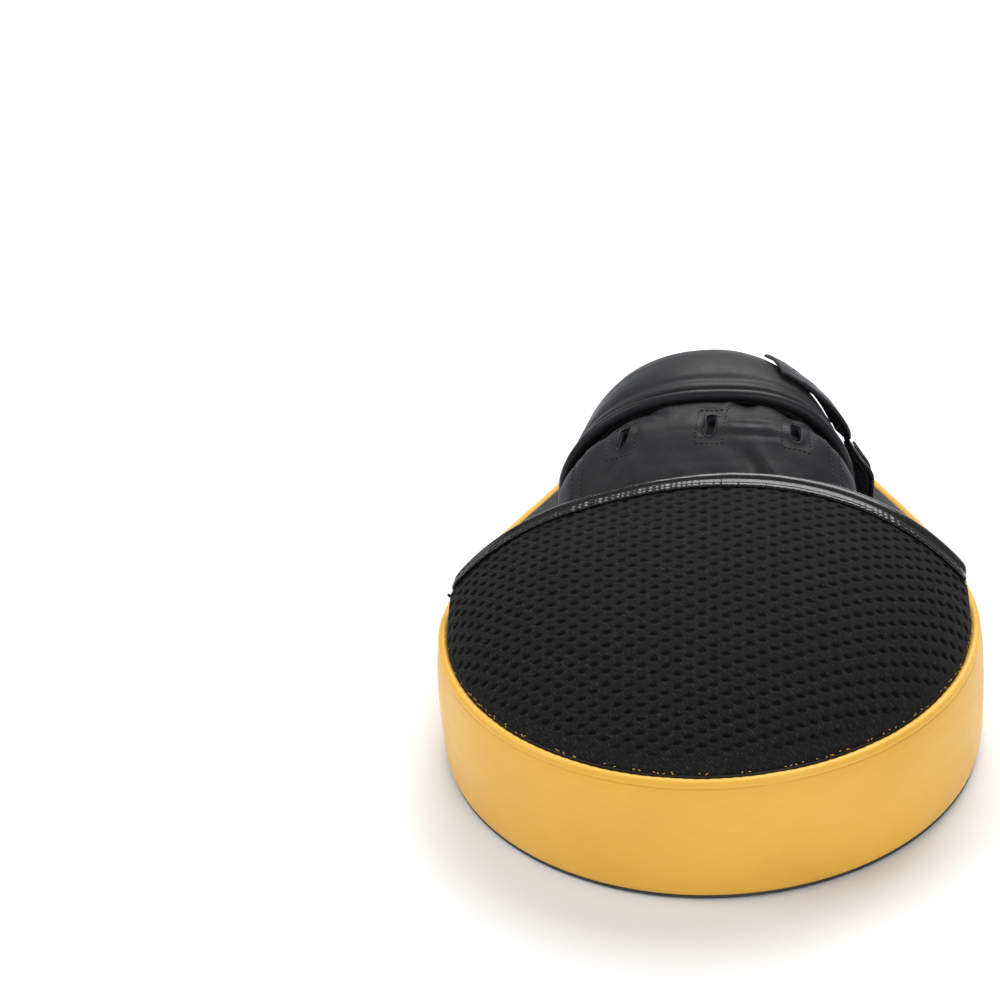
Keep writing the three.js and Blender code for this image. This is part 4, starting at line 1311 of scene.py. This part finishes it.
def build_strap(mats):
    u, v = sheet_grid((88, 160), (26, 38), 1.4)
    y = STRAP_FRONT + (STRAP_BACK - STRAP_FRONT) * v
    p = strap(math.pi * (1 - u), y)
    relief = strap_relief(u, y)
    pad = sheet_object("strap_cushion", p, relief, -5.7, 2.6)
    free = np.zeros(u.shape, bool)
    free[4:-4, 4:-4] = True
    pinned = np.ones(len(pad.data.vertices), bool)
    pinned[: u.size] = ~free.ravel()
    inflate(pad, 4.0, 1.5, pinned)
    subdivide(pad)
    finish_piece(pad, mats["strap"], "strap", "strap_leather", "strap_band", "strap_padding")

    u, v = sheet_grid((80, 150), (22, 38), 0.6)
    y = STRAP_FRONT + (STRAP_BACK - STRAP_FRONT) * v
    lining = sheet_object("strap_lining_cloth", strap(math.pi * (1 - u), y, -6.0), 0.0, -LINING_THICK, 0.5)
    finish_piece(lining, mats["lining"], "strap", "lining_textile", "strap_lining")

    t = math.pi * (1 - np.linspace(0, 1, 260))
    girth = 2.1 + 0.07 * waves(np.linspace(0, 150, 260), 0, 91, 12)
    for name, y, node in (("strap_front_bead", STRAP_FRONT - 2.0, "strap_front_piping"),
                          ("strap_rear_bead", STRAP_BACK + 2.0, "strap_rear_piping")):
        bead = tube_object(name, strap(t, y, -1.6), girth, 16)
        finish_piece(bead, mats["binding"], "strap", "binding_leather", node)

    t = np.linspace(0.03, 0.97, 240)
    row = np.full(240, STRAP_BACK - 4.4)
    a = strap(math.pi * (1 - t), row)
    normal = unit(np.cross(np.gradient(a, axis=0), np.tile([0, 1.0, 0], (240, 1))))
    normal = np.where(normal[:, 2:] < 0, -normal, normal)
    spots = spots_along(a + normal * strap_relief(t, row)[:, None], normal, 3.0)
    seam = stitch_object("strap_stitching", spots, 2.0, 0.2, -0.04)
    finish_piece(seam, mats["thread_black"], "strap", None)


def build_strap_foot(mats):
    """The sewn foot of the strap: a leather leaf that lies on the pad and turns up into the strap."""
    u, v = sheet_grid((40, 30), (30, 34), 1.0)
    y = 26 + 34 * v
    lying = points(-55.5 + 12.5 * (1 - u / 0.55), y, BASE + 0.2)
    rise = np.clip((u - 0.55) / 0.45, 0, 1)
    turned = strap(math.pi - rise * 0.26, y, 0.4) + np.array([-0.2, 0, 0])
    w = smooth(u, 0.5, 0.66)[..., None]
    p = lying * (1 - w) + turned * w
    foot = sheet_object("strap_foot_leaf", p, 1.6, 0.1, 0.8)
    finish_piece(foot, mats["strap"], None, "strap_leather", "strap_anchor")
    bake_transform(foot)


# ---------------------------------------------------------------- the closure
# the tab: its root and tip in degrees round the strap, its middle and half width along y, and the share of
# that half width out to which its leather goes
TAB_ROOT = 54
TAB_TIP = 12
TAB_Y = 47.5
TAB_HALF = 12.5
TAB_SIDE = 0.92


def tab(reach, side, lift=0.0):
    angle = np.radians(TAB_ROOT + (TAB_TIP - TAB_ROOT) * reach)
    into = np.clip((reach - 0.62) / 0.38, 0, 1)
    width = np.sqrt(np.clip(1 - into**2, 0.03, 1))
    y = TAB_Y + side * TAB_HALF * width
    spread = 1.6 + 2.6 * smooth(reach, 0.1, 0.9) * (1 - 0.5 * smooth(side, -0.2, 0.9))
    return strap(angle, y, spread + lift)


def build_tab(mats):
    u, v = sheet_grid((60, 34), (44, 23), 0.9)
    p = tab(0.03 + u * 0.94, (2 * v - 1) * TAB_SIDE, 0.6)
    puff = 0.25 * waves(u * 30, v * 20, 101, 14) + 0.5 * smooth(u, 0.05, 0.3)
    leaf = sheet_object("closure_tab_leather", p, puff, puff - 1.5, 0.8)
    finish_piece(leaf, mats["strap"], "tab", "strap_leather", "strap_tab")

    u, v = sheet_grid((30, 18), (30, 18), 0.5)
    hook = sheet_object("tab_hook_patch", tab(0.42 + 0.48 * u, (2 * v - 1) * 0.74, -0.35), 0.0, -1.0, 0.4)
    finish_piece(hook, mats["hook"], "tab", "hook_textile", "hook_patch")

    out = np.linspace(0.06, 0.97, 70)
    rim = tab(np.r_[out, out[::-1]], np.repeat([-TAB_SIDE, TAB_SIDE], 70), 0.5)
    edge = tube_object("tab_edge_binding", rim, 0.95, 10)
    finish_piece(edge, mats["binding"], "tab", "binding_leather")

    u, v = sheet_grid((20, 9), (40, 25), 0.6)
    root = tab(-0.17 + 0.24 * u, (2 * v - 1) * TAB_SIDE, -0.25)
    strip = sheet_object("tab_root_strip", root, 1.15, -0.1, 0.6)
    finish_piece(strip, mats["strap"], None, "strap_leather")
    a = tab(np.array(-0.03), np.array(0.0))
    b = tab(np.array(0.05), np.array(0.0))
    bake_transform(strip)


FLAP_ACROSS = [57.2, 59.6, 60.2, 59.6, 57.8]
FLAP_UP = [0, 4.5, 8.5, 11.8, 14.5]
FLAP_FRONT = 24.0
FLAP_REAR = 51.0
FLAP_MIDDLE = (FLAP_FRONT + FLAP_REAR) / 2
FLAP_HALF = (FLAP_REAR - FLAP_FRONT) / 2


def flap_at(along, y, depth=0.0):
    x = catmull(FLAP_ACROSS, along)
    z = catmull(FLAP_UP, along)
    step = 0.01
    dx = catmull(FLAP_ACROSS, along + step) - catmull(FLAP_ACROSS, along - step)
    dz = catmull(FLAP_UP, along + step) - catmull(FLAP_UP, along - step)
    size = np.maximum(np.hypot(dx, dz), 1e-6)
    into = np.clip((along - 0.6) / 0.4, 0, 1)
    pulled = FLAP_MIDDLE + (y - FLAP_MIDDLE) * (FLAP_HALF - 6 * into**2) / FLAP_HALF
    px = x - depth * dz / size - 0.3 * (pulled - FLAP_FRONT)
    pz = BASE + np.maximum(0, z + depth * dx / size)
    return points(px, pulled, pz)


def flap_piece(obj, material, slot, *nodes):
    finish_piece(obj, material, "mitt", slot, *nodes, reach=FLAP_REACH)


def build_closure(mats):
    sheets = [
        # name, grid, (start up, reach up, start across, reach across), (top, bottom, edge), looks and node
        ("closure_flap_leather", ((44, 27), (36, 17), 0.7), (0, 1, FLAP_FRONT, 27), (0.0, -1.3, 0.7),
         mats["strap"], "strap_leather", "closure_flap"),
        ("closure_flap_lining", ((36, 25), (30, 16), 0.4), (0, 0.97, 25, 25), (-1.5, -2.3, 0.4),
         mats["loop"], "loop_textile", "flap_lining"),
        ("closure_loop_patch", ((24, 15), (20, 10), 0.4), (0.25, 0.65, 30, 15), (1.2, 0.2, 0.4),
         mats["loop"], "loop_textile", "loop_patch"),
    ]
    for name, steps, (along, up, y, across), layer, material, slot, node in sheets:
        u, v = sheet_grid(*steps)
        obj = sheet_object(name, flap_at(along + up * v, y + across * u), *layer, outward=(1, 0, 0))
        flap_piece(obj, material, slot, node)

    t = np.linspace(0.06, 1.0, 30)
    front = flap_at(t, FLAP_FRONT, 0.65)
    ridge = flap_at(np.full(24, 1.0), np.linspace(FLAP_FRONT, FLAP_REAR, 24), 0.65)
    rear = flap_at(t[::-1], FLAP_REAR, 0.65)
    edge = tube_object("closure_flap_binding", np.concatenate([front, ridge[1:-1], rear]), 0.85, 10)
    flap_piece(edge, mats["binding"], "binding_leather")


# ---------------------------------------------------------------- studio
FLOOR_HALF = 6.0
CAMERA_AT = (0.0251, -0.7388, 0.5060)
CAMERA_TURN = (-7.67, 30.62, -5.08)
CAMERA_LENS = 86.4


def build_studio():
    mesh = bpy.data.meshes.new("floor")
    corners = [(x * FLOOR_HALF, y * FLOOR_HALF, 0) for x, y in ((-1, -1), (1, -1), (1, 1), (-1, 1))]
    mesh.from_pydata(corners, [], [(0, 1, 2, 3)])
    floor = bpy.data.objects.new("floor", mesh)
    bpy.context.scene.collection.objects.link(floor)
    m = Nodes("floor_paper")
    m.colour(m.ramp(m.noise(3, 2, 0.5), [(0, (0.90, 0.925, 0.95)), (1, (0.92, 0.945, 0.97))]))
    m.set(Roughness=0.9, Specular_IOR_Level=0.1)
    mesh.materials.append(m.material)

    world = bpy.data.worlds.new("studio")
    bpy.context.scene.world = world
    world.use_nodes = True
    sky = world.node_tree.nodes["Background"].inputs
    sky["Color"].default_value = (1, 1, 1, 1)
    sky["Strength"].default_value = 0.42

    lamps = [
        ("back_softbox", (0.25, 0.9, 1.3), (0, 0, 0.03), 1.1, 24),
        ("front_softbox", (0.6, -1.3, 0.8), (0, -0.05, 0.04), 0.9, 7),
        ("left_softbox", (-1.2, -0.2, 1.1), (0, 0, 0.04), 0.8, 8),
    ]
    for name, where, aim, width, power in lamps:
        light = bpy.data.lights.new(name, "AREA")
        light.shape = "SQUARE"
        light.size = width
        light.energy = power
        lamp = bpy.data.objects.new(name, light)
        lamp.location = where
        lamp.rotation_euler = (Vector(aim) - Vector(where)).to_track_quat("-Z", "Y").to_euler()
        bpy.context.scene.collection.objects.link(lamp)

    bpy.context.scene.view_settings.view_transform = "Standard"
    camera = bpy.data.cameras.new("camera")
    camera.sensor_width = 36
    camera.lens = CAMERA_LENS
    obj = bpy.data.objects.new("camera", camera)
    yaw, pitch, roll = (math.radians(a) for a in CAMERA_TURN)
    forward = Vector((math.sin(yaw) * math.cos(pitch), math.cos(yaw) * math.cos(pitch), -math.sin(pitch)))
    right = Vector((math.cos(yaw), -math.sin(yaw), 0))
    up = right.cross(forward)
    right2 = right * math.cos(roll) + up * math.sin(roll)
    up2 = up * math.cos(roll) - right * math.sin(roll)
    turn = Matrix((right2, up2, -forward)).transposed()
    obj.matrix_world = Matrix.Translation(CAMERA_AT) @ turn.to_4x4()
    bpy.context.scene.collection.objects.link(obj)
    bpy.context.scene.camera = obj


mats = make_materials()
builders = (
    build_gusset, build_face, build_back, build_core, build_hood, build_hood_piping, build_seam_threads,
    build_glove, build_glove_trim, build_thumb, build_cushions, build_strap, build_strap_foot, build_tab,
    build_closure,
)
for build in builders:
    build(mats)
build_studio()
